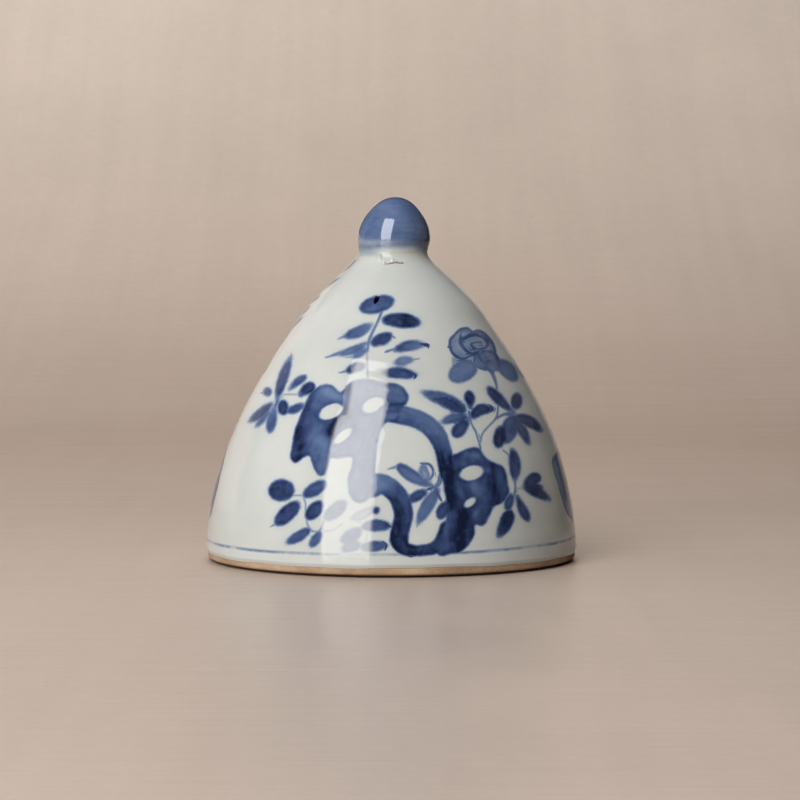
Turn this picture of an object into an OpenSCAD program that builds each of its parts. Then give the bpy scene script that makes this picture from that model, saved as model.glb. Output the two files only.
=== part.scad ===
// Porcelain water dropper for the calligraphy desk.
// A hollow bullet-shaped wall stands on a base slab, and a solid egg-shaped knob sits on its crown.
// It is filled from below through a tube that rises inside, and drips from a small hole in the shoulder.
// Millimetres, +Z up, origin in the middle of the foot, front of the painting towards -Y.

/* [Foot] */
// Diameter of the glazed wall where it meets the foot
foot_d = 65; // [56:0.5:74]
// Thickness of the base slab
base_t = 3.2; // [2.6:0.1:4]
// Bevel round the lower edge of the slab
foot_bevel = 0.45; // [0.2:0.05:0.8]
// Width of the flat ring that the dropper stands on
foot_ring_w = 6; // [4:0.5:10]
// Depth of the turned hollow under the slab, inside the ring
foot_hollow = 0.7; // [0.3:0.1:1]

/* [Wall] */
// Diameter where the long side curve meets the shoulder curve
shoulder_d = 32.4; // [29:0.1:36]
// Height of that place
shoulder_h = 41.85; // [39:0.05:43]
// Slope of the wall there, in degrees from the horizontal
shoulder_slope = 56; // [53:0.5:60]
// How far the foot stays upright before it leans in
upright_reach = 19.2; // [14:0.1:22]
// Reach of the side curve below the shoulder
side_reach = 9; // [6:0.5:12]
// Reach of the shoulder curve above the same place
crown_reach = 6.8; // [5:0.1:8]
// Thickness of the thrown wall
wall_t = 3; // [2.5:0.1:3.6]
// Clay left above the inside of the crown
crown_t = 5; // [4:0.2:7]

/* [Neck and knob] */
// Diameter of the neck under the knob
neck_d = 11.9; // [10:0.1:12]
// Height of the neck
neck_h = 53.45; // [51.5:0.05:55]
// Reach of the neck's upright part
neck_reach = 2.1; // [1.2:0.05:2.4]
// Widest diameter of the knob
knob_d = 12.6; // [12.2:0.05:14]
// Height of the knob above the neck
knob_h = 9.55; // [8:0.05:11]
// Height of the knob's widest place above the neck
knob_belly_h = 2.5; // [2:0.1:3.4]
// Lean of the knob to the right, in degrees
knob_lean = 4.5; // [0:0.5:5]
// How much the egg narrows towards its top, as a share of its width
knob_point = 0.11; // [0:0.01:0.2]

/* [Filling tube] */
// Diameter of the filling hole and of the tube's bore
fill_d = 6.4; // [5.6:0.1:8]
// Outer diameter of the tube
tube_d = 11; // [10:0.1:13]
// Height of the tube's open end above the foot
tube_top = 36; // [28:0.5:38]
// Countersink at the mouth of the filling hole
fill_countersink = 0.9; // [0.4:0.1:1.2]

/* [Drip hole] */
// Diameter of the drip hole
drip_d = 1.3; // [0.8:0.1:2]
// Height of the drip hole on the shoulder
drip_h = 45.45; // [43.5:0.05:47]
// Turn of the drip hole from the front, in degrees, to the left when negative
drip_turn = -11.5; // [-30:0.5:30]
// Slope of the drip hole, rising outwards, in degrees
drip_slope = 20; // [0:1:45]

/* [Slip and glaze] */
// Thickness of the slip in a joint
slip_t = 0.4; // [0.2:0.1:0.6]
// Size of the slip fillets inside the dropper
fillet = 1.8; // [1:0.1:2.4]
// Thickness of the glaze coat
glaze_t = 0.35; // [0.2:0.05:0.5]
// Height of the glaze line above the foot
glaze_line = 1.5; // [0.8:0.1:2]

/* [Smoothness] */
// Steps along each curve of the profile
curve_steps = 20; // [12:1:32]
// Facets round the axis
round_steps = 180; // [90:10:360]

/* [Hidden] */
$fn = round_steps;

white_clay = [0.86, 0.85, 0.81];
buff_clay = [0.72, 0.56, 0.42];
slip_white = [0.90, 0.89, 0.86];
pale_glaze = [0.83, 0.85, 0.82];
blue_glaze = [0.36, 0.42, 0.60];

foot_r = foot_d / 2;
neck_r = neck_d / 2;
knob_r = knob_d / 2;
clay_in = glaze_t;
cavity_in = glaze_t + wall_t;
crown_under = neck_h - crown_t;
seat_h = neck_h - slip_t;
reach_out = foot_r + 10;
big = 2 * reach_out;
margin = 1;
dome_fullness = 0.6;

// The profile is two curves, each [start, start handle, end handle, end] as [radius, height]
shoulder = [shoulder_d / 2, shoulder_h];
slope_way = [-cos(shoulder_slope), sin(shoulder_slope)];
side_curve = [[foot_r, 0], [foot_r, upright_reach], shoulder - side_reach * slope_way, shoulder];
crown_curve = [shoulder, shoulder + crown_reach * slope_way, [neck_r, neck_h - neck_reach], [neck_r, neck_h]];

function bezier(c, t) =
    pow(1 - t, 3) * c[0] + 3 * pow(1 - t, 2) * t * c[1] + 3 * (1 - t) * t * t * c[2] + pow(t, 3) * c[3];
function heading(c, t) =
    let (d = pow(1 - t, 2) * (c[1] - c[0]) + 2 * (1 - t) * t * (c[2] - c[1]) + t * t * (c[3] - c[2]))
    d / norm(d);
function set_in(c, t, depth) = let (d = heading(c, t)) bezier(c, t) + depth * [-d[1], d[0]];
function height_share(c, h, low = 0, high = 1, tries = 24) =
    tries == 0 ? (low + high) / 2
    : let (mid = (low + high) / 2)
      bezier(c, mid)[1] < h ? height_share(c, h, mid, high, tries - 1)
                            : height_share(c, h, low, mid, tries - 1);

// The vessel's outer form, shrunk inwards by depth, from the foot to the top of the neck
module vessel_form(depth) {
    side = [for (i = [0 : curve_steps]) set_in(side_curve, i / curve_steps, depth)];
    crown = [for (i = [1 : curve_steps]) set_in(crown_curve, i / curve_steps, depth)];
    rotate_extrude() polygon(concat([[0, 0]], side, crown, [[0, neck_h]]));
}

// The space inside: the side and shoulder curves set in by the wall, closed by a smooth dome
module cavity_form() {
    stop = height_share(crown_curve, crown_under - wall_t / 2);
    side = [for (i = [0 : curve_steps]) set_in(side_curve, i / curve_steps, cavity_in)];
    crown = [for (i = [1 : curve_steps]) set_in(crown_curve, stop * i / curve_steps, cavity_in)];
    rim = crown[curve_steps - 1];
    way = heading(crown_curve, stop);
    rise = (crown_under - rim[1]) / way[1];
    dome_curve = [rim, rim + dome_fullness * rise * way, [rim[0] / 2, crown_under], [0, crown_under]];
    dome = [for (i = [1 : curve_steps]) bezier(dome_curve, i / curve_steps)];
    rotate_extrude() polygon(concat([[0, 0]], side, crown, dome));
}

// A flat slice of space between two heights
module slice(low, high) {
    translate([-reach_out, -reach_out, low]) cube([big, big, high - low]);
}

module drip_bore() {
    drip_r = bezier(crown_curve, height_share(crown_curve, drip_h))[0];
    rotate([0, 0, drip_turn]) translate([0, -drip_r, drip_h]) rotate([90 - drip_slope, 0, 0])
        cylinder(h = 4 * wall_t, d = drip_d, center = true, $fn = 48);
}

// Egg shape on the neck, shrunk inwards by depth and cut flat at the seat
module knob_form(depth, seat) {
    belly = knob_r - depth;
    low = knob_belly_h + slip_t;
    high = knob_h - knob_belly_h - depth;
    neck_share = acos((neck_r - depth) / belly);
    root = [for (i = [0 : curve_steps]) let (a = -neck_share * (1 - i / curve_steps))
            [belly * cos(a), low * sin(a) / sin(neck_share)]];
    cap = [for (i = [1 : curve_steps - 1]) let (a = 90 * i / curve_steps)
           [belly * cos(a) * (1 - knob_point * sin(a)), high * sin(a)]];
    stem = [[0, -low - margin], [root[0][0], -low - margin]];
    intersection() {
        translate([0, 0, neck_h]) rotate([0, knob_lean, 0]) translate([0, 0, knob_belly_h])
            rotate_extrude() polygon(concat(stem, root, cap, [[0, high]]));
        slice(seat, neck_h + knob_h + margin);
    }
}

module thrown_wall() {
    color(white_clay) difference() {
        intersection() {
            vessel_form(clay_in);
            slice(base_t + slip_t, seat_h);
        }
        cavity_form();
        drip_bore();
    }
}

module base_slab() {
    ring_in = foot_r - clay_in - foot_bevel - foot_ring_w;
    edge_r = foot_r - clay_in;
    color(buff_clay) difference() {
        intersection() {
            vessel_form(clay_in);
            slice(0, base_t);
            rotate_extrude() polygon([[0, 0], [edge_r - foot_bevel, 0], [edge_r, foot_bevel],
                                      [edge_r, base_t], [0, base_t]]);
        }
        translate([0, 0, -margin]) cylinder(h = base_t + 2 * margin, d = fill_d);
        rotate_extrude() polygon([[0, -margin], [ring_in, -margin], [ring_in, 0],
                                  [ring_in - foot_hollow, foot_hollow], [0, foot_hollow]]);
        translate([0, 0, foot_hollow])
            cylinder(h = fill_countersink, r1 = fill_d / 2 + fill_countersink, r2 = fill_d / 2);
    }
}

module filling_tube() {
    tube_r = tube_d / 2;
    lip = (tube_d - fill_d) / 4;
    color(white_clay) rotate_extrude() polygon(concat(
        [[fill_d / 2, base_t], [tube_r, base_t]],
        [for (i = [0 : curve_steps]) let (a = 180 * i / curve_steps)
         [tube_r - lip + lip * cos(a), tube_top - lip + lip * sin(a)]]));
}

module knob() {
    color(blue_glaze) knob_form(glaze_t, neck_h);
}

// Concave slip fillet in the corner between a floor and an upright, as [radius, height] points
function fillet_arc(corner_r, floor_h, side) =
    [for (i = [0 : curve_steps]) let (a = 90 * i / curve_steps)
     [corner_r + side * fillet * (1 - sin(a)), floor_h + fillet * (1 - cos(a))]];

module wall_luting_slip() {
    inner_r = foot_r - cavity_in;
    outer_r = inner_r + margin;
    color(slip_white) {
        difference() {
            intersection() {
                vessel_form(clay_in);
                slice(base_t, base_t + slip_t);
            }
            cavity_form();
        }
        intersection() {
            cavity_form();
            rotate_extrude() polygon(concat([[outer_r, base_t]], fillet_arc(inner_r, base_t, -1),
                                            [[outer_r, base_t + fillet]]));
        }
    }
}

module tube_luting_slip() {
    tube_r = tube_d / 2;
    color(slip_white) rotate_extrude()
        polygon(concat([[tube_r, base_t]], fillet_arc(tube_r, base_t, 1)));
}

module knob_luting_slip() {
    color(slip_white) intersection() {
        vessel_form(clay_in);
        slice(seat_h, neck_h);
    }
}

module body_glaze() {
    color(pale_glaze) difference() {
        intersection() {
            vessel_form(0);
            slice(glaze_line, neck_h);
        }
        vessel_form(clay_in);
        drip_bore();
    }
}

module knob_glaze() {
    color(blue_glaze) difference() {
        knob_form(0, neck_h);
        knob_form(glaze_t, neck_h - margin);
    }
}

thrown_wall();
base_slab();
filling_tube();
knob();
wall_luting_slip();
tube_luting_slip();
knob_luting_slip();
body_glaze();
knob_glaze();
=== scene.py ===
import math
import bpy
import numpy as np
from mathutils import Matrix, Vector


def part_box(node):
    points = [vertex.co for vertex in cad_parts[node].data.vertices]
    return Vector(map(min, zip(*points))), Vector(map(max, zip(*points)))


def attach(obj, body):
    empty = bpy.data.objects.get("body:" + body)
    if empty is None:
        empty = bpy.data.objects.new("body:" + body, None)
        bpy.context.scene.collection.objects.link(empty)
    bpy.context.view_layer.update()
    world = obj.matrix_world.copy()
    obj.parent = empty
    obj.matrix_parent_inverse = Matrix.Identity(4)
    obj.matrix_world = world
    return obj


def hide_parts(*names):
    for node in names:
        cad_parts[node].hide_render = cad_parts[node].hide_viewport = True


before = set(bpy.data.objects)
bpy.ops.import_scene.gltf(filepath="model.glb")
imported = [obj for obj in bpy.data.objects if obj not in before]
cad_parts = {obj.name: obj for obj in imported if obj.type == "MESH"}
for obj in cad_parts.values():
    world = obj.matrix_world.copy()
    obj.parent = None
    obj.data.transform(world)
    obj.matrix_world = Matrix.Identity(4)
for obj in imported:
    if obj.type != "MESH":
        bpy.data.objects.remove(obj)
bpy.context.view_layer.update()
mm = 0.001

# camera: lengths in millimetres, columns and rows in pixels of the 800 x 800 picture

view = {
    "distance": 600.0,      # from the aim point
    "elevation": 3.06,      # degrees above the desk
    "aimHeight": 31.45,     # height of the aim point on the axis
    "aimColumn": 391.5,     # where the aim point falls in the picture
    "aimRow": 377.6,
    "focal": 3428.5,        # in pixels
    "picture": 800,
    "film": 36.0,
    "nearest": 10.0,        # nothing nearer to the camera is drawn
}
pixelsPerMm = view["focal"] / view["distance"]


def makeCamera():
    rise = math.radians(view["elevation"])
    cameraData = bpy.data.cameras.new("deskCamera")
    cameraData.sensor_width = view["film"]
    cameraData.lens = view["focal"] / view["picture"] * view["film"]
    cameraData.shift_x = 0.5 - view["aimColumn"] / view["picture"]
    cameraData.shift_y = view["aimRow"] / view["picture"] - 0.5
    cameraData.clip_start = view["nearest"] * mm
    camera = bpy.data.objects.new("deskCamera", cameraData)
    aim = Vector((0, 0, view["aimHeight"] * mm))
    away = Vector((0, -math.cos(rise), math.sin(rise))) * view["distance"] * mm
    camera.location = aim + away
    camera.rotation_euler = (-away).to_track_quat("-Z", "Y").to_euler()
    bpy.context.scene.collection.objects.link(camera)
    bpy.context.scene.camera = camera


def toPicture(points, turn=0.0):
    # columns and rows of points seen by the same camera walked round the dropper by turn degrees
    a = math.radians(turn)
    rise = math.radians(view["elevation"])
    across = points[:, 0] * math.cos(a) + points[:, 1] * math.sin(a)
    back = points[:, 1] * math.cos(a) - points[:, 0] * math.sin(a)
    height = points[:, 2] - view["aimHeight"]
    depth = view["distance"] + back * math.cos(rise) - height * math.sin(rise)
    up = height * math.cos(rise) + back * math.sin(rise)
    column = view["aimColumn"] + view["focal"] * across / depth
    row = view["aimRow"] - view["focal"] * up / depth
    return np.stack([column, row], axis=1)


makeCamera()
print("camera placed")

# small helpers for meshes and node trees

tiny = 1e-6                 # keeps divisions from failing


def smoothStep(low, high, value):
    t = np.clip((value - low) / (high - low), 0.0, 1.0)
    return t * t * (3 - 2 * t)


def addMesh(name, points, faces, material, sharp=None):
    mesh = bpy.data.meshes.new(name)
    mesh.from_pydata((np.asarray(points) * mm).tolist(), [], [tuple(int(i) for i in f) for f in faces])
    mesh.polygons.foreach_set("use_smooth", [True] * len(mesh.polygons))
    if sharp is not None:
        ends = np.empty(len(mesh.edges) * 2, int)
        mesh.edges.foreach_get("vertices", ends)
        ends = ends.reshape(-1, 2)
        mesh.edges.foreach_set("use_edge_sharp", (sharp[ends[:, 0]] & sharp[ends[:, 1]]).tolist())
    mesh.update()
    piece = bpy.data.objects.new(name, mesh)
    piece.data.materials.append(material)
    bpy.context.scene.collection.objects.link(piece)
    return piece


def addValues(piece, name, values):
    values = np.asarray(values, dtype=np.float32)
    kind = "FLOAT" if values.ndim == 1 else "FLOAT_VECTOR"
    layer = piece.data.attributes.new(name, kind, "POINT")
    layer.data.foreach_set("value" if values.ndim == 1 else "vector", values.ravel())


def ringFaces(rings, columns, closed=False):
    # quads between neighbouring rings of equal length, each ring closed round the axis
    last = rings if closed else rings - 1
    lower = np.arange(last)[:, None] * columns
    upper = (np.arange(last)[:, None] + 1) % rings * columns
    here = np.arange(columns)[None, :]
    there = (here + 1) % columns
    quads = np.stack([lower + here, lower + there, upper + there, upper + here], axis=-1)
    return quads.reshape(-1, 4)


class Finish:
    # a material's node tree, with one short call for each kind of node
    def __init__(self, name):
        self.material = bpy.data.materials.new(name)
        self.material.use_nodes = True
        self.tree = self.material.node_tree
        self.shader = self.tree.nodes["Principled BSDF"]

    def feed(self, socket, value):
        if isinstance(value, bpy.types.NodeSocket):
            self.tree.links.new(value, socket)
        elif value is not None:
            socket.default_value = value

    def node(self, kind, *inputs, out=0, **settings):
        node = self.tree.nodes.new(kind)
        for key, value in settings.items():
            setattr(node, key, value)
        for socket, value in zip(node.inputs, inputs):
            self.feed(socket, value)
        return node.outputs[out]

    def math(self, operation, *inputs):
        return self.node("ShaderNodeMath", *inputs, operation=operation)

    def plus(self, first, second):
        return self.math("ADD", first, second)

    def times(self, first, second):
        return self.math("MULTIPLY", first, second)

    def scaled(self, value, factor, added):
        return self.math("MULTIPLY_ADD", value, factor, added)

    def grey(self, value):
        return self.node("ShaderNodeCombineColor", value, value, value)

    def place(self, scale=1000.0):
        where = self.tree.nodes.new("ShaderNodeTexCoord").outputs["Object"]
        return self.stretch(where, (scale, scale, scale))

    def stretch(self, vector, scale):
        return self.node("ShaderNodeVectorMath", vector, scale, operation="MULTIPLY")

    def noise(self, vector, scale, detail=2.0, rough=0.5, warp=0.0):
        node = self.tree.nodes.new("ShaderNodeTexNoise")
        self.feed(node.inputs["Vector"], vector)
        node.inputs["Scale"].default_value = scale
        node.inputs["Detail"].default_value = detail
        node.inputs["Roughness"].default_value = rough
        node.inputs["Distortion"].default_value = warp
        return node.outputs["Fac"]

    def specks(self, vector, scale):
        node = self.tree.nodes.new("ShaderNodeTexVoronoi")
        self.feed(node.inputs["Vector"], vector)
        node.inputs["Scale"].default_value = scale
        return node.outputs["Distance"], node.outputs["Color"]

    def spots(self, vector, scale, size, rare, part=0):
        # round spots in a few of the cells, size being where they fade and how strong they are
        gap, kind = self.specks(vector, scale)
        chosen = self.math("GREATER_THAN", self.split(kind)[part], rare)
        return self.times(self.span(gap, *size), chosen)

    def span(self, value, low, high, first=0.0, last=1.0, smooth=True):
        node = self.tree.nodes.new("ShaderNodeMapRange")
        node.interpolation_type = "SMOOTHSTEP" if smooth else "LINEAR"
        for name, number in (("From Min", low), ("From Max", high), ("To Min", first), ("To Max", last)):
            self.feed(node.inputs[name], number)
        self.feed(node.inputs["Value"], value)
        return node.outputs["Result"]

    def read(self, name, part="Fac"):
        node = self.tree.nodes.new("ShaderNodeAttribute")
        node.attribute_name = name
        return node.outputs[part]

    def split(self, vector):
        node = self.tree.nodes.new("ShaderNodeSeparateXYZ")
        self.feed(node.inputs[0], vector)
        return node.outputs

    def ramp(self, value, stops):
        node = self.tree.nodes.new("ShaderNodeValToRGB")
        self.feed(node.inputs[0], value)
        ends = node.color_ramp.elements
        while len(ends) < len(stops):
            ends.new(0.5)
        for end, (position, colour) in zip(ends, stops):
            end.position = position
            end.color = (*colour, 1.0)
        return node.outputs["Color"]

    def mix(self, share, first, second, blend="MIX"):
        node = self.tree.nodes.new("ShaderNodeMix")
        node.data_type = "RGBA"
        node.blend_type = blend
        self.feed(node.inputs["Factor"], share)
        for name, value in (("A", first), ("B", second)):
            socket = [s for s in node.inputs if s.name == name and s.type == "RGBA"][0]
            self.feed(socket, (*value, 1.0) if isinstance(value, tuple) else value)
        return [s for s in node.outputs if s.type == "RGBA"][0]

    def bump(self, height, strength, distance, normal=None):
        node = self.tree.nodes.new("ShaderNodeBump")
        node.inputs["Strength"].default_value = strength
        node.inputs["Distance"].default_value = distance
        self.feed(node.inputs["Height"], height)
        if normal is not None:
            self.feed(node.inputs["Normal"], normal)
        return node.outputs["Normal"]

    def surface(self, colour, roughness, normal=None, **constants):
        self.feed(self.shader.inputs["Base Color"], colour)
        self.feed(self.shader.inputs["Roughness"], roughness)
        if normal is not None:
            self.feed(self.shader.inputs["Normal"], normal)
        for name, value in constants.items():
            self.shader.inputs[name].default_value = value
        return self.material


# stage: a pale sheet that runs back from the camera and curves up behind the dropper

stage = {
    "top": -0.22,           # the foot stands on a few high grains, so a dark gap shows under its rim
    "front": -1500.0,       # nearest edge of the sheet
    "bend": 290.0,          # where it starts to rise
    "bendRadius": 700.0,
    "height": 1500.0,
    "halfWidth": 1700.0,
    "bendSteps": 32,
    # colour towards the camera, from the front of the table to high up behind: painted shade, darkest where
    # the sheet bends up
    "reach": (-400.0, 720.0),
    "seen": [
        (0.0, (0.73, 0.59, 0.50)), (0.30, (0.64, 0.517, 0.433)), (0.45, (0.50, 0.39, 0.32)),
        (0.60, (0.465, 0.35, 0.28)), (0.72, (0.50, 0.39, 0.32)), (1.0, (0.60, 0.51, 0.437)),
    ],
    # painted light: high up behind, the paper glows for the camera and for mirrors, though it is no lamp
    "glow": [(0.64, (0.0, 0.0, 0.0)), (0.74, (0.052, 0.04, 0.031)), (1.0, (0.345, 0.29, 0.245))],
    "bounce": (0.40, 0.335, 0.285),         # colour of the light that it gives back
    "sideFade": (-200.0, 200.0, 1.10, 0.90),    # painted shade, a little darker to the right
    "bounceFade": (10.0, 200.0, 1.0, 0.25),     # and gives less light back there
    "dim": (140.0, 380.0, 1.0, 0.10),       # painted shade in reflections: far right the sheet looks dark to mirrors only, standing for a dim room
    "level": 0.75,
    "cloudy": 0.24,         # how much each kind of unevenness shows
    "grainy": 0.12,
    "streaky": 0.12,
    "roughness": (0.30, 0.40),
    "relief": 0.0004,
}


def makePaper():
    finish = Finish("studioPaper")
    where = finish.place()
    across, back, _ = finish.split(where)
    along = finish.span(back, *stage["reach"], smooth=False)
    clouds = finish.noise(where, 0.012, 4.0, 0.6)
    grain = finish.noise(where, 0.35, 4.0, 0.65)
    streaks = finish.noise(finish.stretch(where, (1.0, 0.05, 0.05)), 0.12, 3.0, 0.6)
    scratches = finish.noise(finish.stretch(where, (0.04, 1.0, 1.0)), 0.6, 3.0, 0.7)
    uneven = finish.scaled(clouds, stage["cloudy"], stage["level"])
    uneven = finish.scaled(streaks, stage["streaky"], uneven)
    uneven = finish.scaled(grain, stage["grainy"], uneven)
    path = finish.tree.nodes.new("ShaderNodeLightPath").outputs
    # painted shade: the sheet grows a little darker to the right
    uneven = finish.times(uneven, finish.span(across, *stage["sideFade"], smooth=False))
    # painted shade in reflections: far right the sheet is darker for mirror rays only
    dim = finish.math("SUBTRACT", finish.span(across, *stage["dim"]), 1.0)
    uneven = finish.times(uneven, finish.scaled(path["Is Glossy Ray"], dim, 1.0))
    shade = finish.grey(uneven)
    # painted shade: the colour darkens where the sheet bends up
    seen = finish.mix(1.0, finish.ramp(along, stage["seen"]), shade, "MULTIPLY")
    glow = finish.mix(1.0, finish.ramp(along, stage["glow"]), shade, "MULTIPLY")
    looked = finish.math("MAXIMUM", path["Is Camera Ray"], path["Is Glossy Ray"])
    looked = finish.math("MAXIMUM", looked, path["Is Transmission Ray"])
    # painted light: the glow shows only to the camera, to mirrors and through glass
    finish.feed(finish.shader.inputs["Emission Color"], glow)
    finish.feed(finish.shader.inputs["Emission Strength"], looked)
    rough = finish.span(finish.plus(scratches, clouds), 0.8, 1.2, *stage["roughness"])
    normal = finish.bump(finish.plus(grain, scratches), 0.12, stage["relief"])
    given = finish.grey(finish.span(across, *stage["bounceFade"]))
    given = finish.mix(1.0, stage["bounce"], given, "MULTIPLY")
    return finish.surface(finish.mix(looked, given, seen), rough, normal, IOR=1.45)


def makeStage():
    bend, radius = stage["bend"], stage["bendRadius"]
    arc = [(bend + radius * math.sin(a), stage["top"] + radius * (1 - math.cos(a)))
           for a in np.linspace(0, math.pi / 2, stage["bendSteps"])]
    line = [(stage["front"], stage["top"]), *arc, (bend + radius, stage["height"])]
    points = [(side * stage["halfWidth"], back, up) for back, up in line for side in (-1, 1)]
    faces = [(2 * i, 2 * i + 1, 2 * i + 3, 2 * i + 2) for i in range(len(line) - 1)]
    addMesh("paperSweep", points, faces, makePaper())


# light: one tall softbox to the left of the camera, weak panels and a dim room, and two faint
# warm cards at the right that only mirrors see; bearings run from the front towards the right

lights = {
    "softbox": {"bearing": -28.5, "rise": 27.0, "distance": 1000.0, "size": (570.0, 1280.0), "watts": 10.3},
    "leftPanel": {
        "bearing": -95.0, "rise": 12.0, "distance": 1300.0, "size": (1400.0, 1400.0), "watts": 4.1,
        "mirrored": False,
    },
    "topPanel": {
        "bearing": -60.0, "rise": 80.0, "distance": 1300.0, "size": (1400.0, 1400.0), "watts": 2.25,
        "mirrored": False, "tint": (1.0, 0.965, 0.94),
    },
    "backPanel": {
        "bearing": 165.0, "rise": 52.0, "distance": 520.0, "size": (400.0, 300.0), "watts": 0.8,
        "mirrored": False,
    },
    "rightCard": {
        "bearing": 95.0, "rise": 21.0, "distance": 900.0, "size": (360.0, 680.0), "watts": 0.08,
        "lights": False, "tint": (1.0, 0.62, 0.45),
    },
    "farCard": {
        "bearing": 119.0, "rise": 18.0, "distance": 900.0, "size": (360.0, 600.0), "watts": 0.09,
        "lights": False, "tint": (1.0, 0.62, 0.45),
    },
}
roomColour = (0.02, 0.02, 0.02)

flag = {
    "edges": (-36.0, 12.0, 57.5, 95.0),     # left, right, bottom and top
    "back": 18.0,           # how far it stands behind the axis
    "felt": [(0.3, (0.05, 0.04, 0.035)), (0.7, (0.09, 0.075, 0.065))],
}


def makeLight(name):
    setting = lights[name]
    bearing, rise = math.radians(setting["bearing"]), math.radians(setting["rise"])
    away = Vector((math.sin(bearing) * math.cos(rise), -math.cos(bearing) * math.cos(rise), math.sin(rise)))
    lamp = bpy.data.lights.new(name, "AREA")
    lamp.shape = "RECTANGLE"
    lamp.size, lamp.size_y = (side * mm for side in setting["size"])
    lamp.energy = setting["watts"]
    lamp.color = setting.get("tint", (1.0, 1.0, 1.0))
    holder = bpy.data.objects.new(name, lamp)
    holder.location = Vector((0, 0, view["aimHeight"] * mm)) + away * setting["distance"] * mm
    holder.rotation_euler = (-away).to_track_quat("-Z", "Y").to_euler()
    holder.visible_camera = False
    holder.visible_glossy = setting.get("mirrored", True)
    holder.visible_diffuse = setting.get("lights", True)
    bpy.context.scene.collection.objects.link(holder)


def makeRoom():
    world = bpy.data.worlds.new("dimRoom")
    world.use_nodes = True
    background = world.node_tree.nodes["Background"]
    background.inputs["Color"].default_value = (*roomColour, 1.0)
    background.inputs["Strength"].default_value = 1.0
    bpy.context.scene.world = world


def makeFlag():
    # black felt behind the knob, seen only in its glaze, where it darkens the rim
    finish = Finish("blackFelt")
    fluff = finish.noise(finish.place(), 0.8, 4.0, 0.7)
    felt = finish.surface(finish.ramp(fluff, flag["felt"]), 1.0, finish.bump(fluff, 0.5, 0.001))
    left, right, low, high = flag["edges"]
    points = [(x, flag["back"], z) for x, z in ((left, low), (right, low), (right, high), (left, high))]
    felted = addMesh("feltFlag", points, [(0, 1, 2, 3)], felt)
    felted.visible_camera = False
    felted.visible_diffuse = False
    felted.visible_shadow = False
    felted.visible_transmission = False


makeStage()
makeFlag()
for lightName in lights:
    makeLight(lightName)
makeRoom()
bpy.context.scene.view_settings.view_transform = "Standard"
print("stage and light set")

# form of the dropper, in millimetres, the same two curves that the wall is thrown to

form = {
    "footRadius": 32.5,
    "upright": 19.2,        # how far the foot stays upright before it leans in
    "shoulder": (16.2, 41.85),  # radius and height where the two curves meet
    "slope": 56.0,
    "sideReach": 9.0,
    "crownReach": 6.8,
    "curvePoints": (400, 300),
    "neckRadius": 5.95,
    "neckHeight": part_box("body_glaze")[1].z / mm,
    "neckReach": 2.1,
    "neckZone": (50.8, 53.3),   # heights between which the wall passes into the neck
    "neckShift": 0.30,      # the neck and knob stand a little to the right of the axis
    "neckSwell": 0.03,
    "rightFull": 0.45,      # and the wall is fuller on that side
    "fullZone": (8, 26),    # heights over which that begins
    "trueFrom": (50, 53.4), # the wall is less and less uneven up to the neck
    "coat": 0.33,           # thickness of the glaze
    "glazeLine": 1.5,
    "edgeThin": (0.22, 0.26),   # how much thinner the coat is at that line, and over what height
    "edgeWaver": 1.2,       # height over which the glaze edge's waver dies away
}


def bezier(points, count):
    p = np.array(points, float)
    t = np.linspace(0, 1, count)[:, None]
    return (1 - t) ** 3 * p[0] + 3 * (1 - t) ** 2 * t * p[1] + 3 * (1 - t) * t * t * p[2] + t ** 3 * p[3]


def wallLine():
    slope = math.radians(form["slope"])
    way = np.array([-math.cos(slope), math.sin(slope)])
    foot, shoulder = form["footRadius"], np.array(form["shoulder"])
    neck = np.array([form["neckRadius"], form["neckHeight"]])
    sideCount, crownCount = form["curvePoints"]
    below, above = shoulder - form["sideReach"] * way, shoulder + form["crownReach"] * way
    side = bezier([(foot, 0), (foot, form["upright"]), below, shoulder], sideCount)
    crown = bezier([shoulder, above, neck - (0, form["neckReach"]), neck], crownCount)
    return np.concatenate([side, crown[1:]])


wall = wallLine()
wallRun = np.concatenate([[0], np.cumsum(np.hypot(*np.diff(wall, axis=0).T))])
wallWay = np.gradient(wall, wallRun, axis=0)
wallWay /= np.hypot(*wallWay.T)[:, None]


def onWall(run):
    # radius, height and outward normal at a run along the wall from the foot
    radius, height = (np.interp(run, wallRun, wall[:, i]) for i in (0, 1))
    out, up = np.interp(run, wallRun, wallWay[:, 1]), np.interp(run, wallRun, -wallWay[:, 0])
    return radius, height, out, up


def runAt(height):
    return float(np.interp(height, wall[:, 1], wallRun))


# painted marks: places are columns and rows of the picture, seen from the turn of their sheet

brushwork = {
    "look": 12,             # how many pixels round a mark are looked at
    "lineLook": 9,
    "backWeight": 1.35,     # the sides and the back were brushed more broadly
    "farOff": 4.0,          # mm to the nearest mark where there is none
    "grainStep": 3.7,       # keeps the grain of one mark apart from the next
    "leaf": 0.86,           # how strongly the brush was loaded for each kind of mark
    "pool": 0.60,
    "line": 0.90,
    "flowerLine": 0.80,
    "flowerSwell": 1.15,    # the peony's lines are wider too
}


class Sheet:
    # the glaze points that face one side, with everything brushed on them from that side
    def __init__(self, coat, turn, flip=False, least=0.1):
        self.coat = coat
        self.lineWeight = 1.0 if turn == 0 else brushwork["backWeight"]
        a = math.radians(turn)
        out = coat.normals[coat.outside]
        facing = out[:, 0] * math.sin(a) - out[:, 1] * math.cos(a)
        self.members = coat.outside[facing > least]
        self.places = toPicture(coat.points[self.members], turn)
        if flip:
            self.places[:, 0] = 2 * view["aimColumn"] - self.places[:, 0]

    def near(self, outline, reach):
        low, high = np.min(outline, axis=0) - reach, np.max(outline, axis=0) + reach
        inside = np.all((self.places > low) & (self.places < high), axis=1)
        return self.members[inside], self.places[inside]


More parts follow.
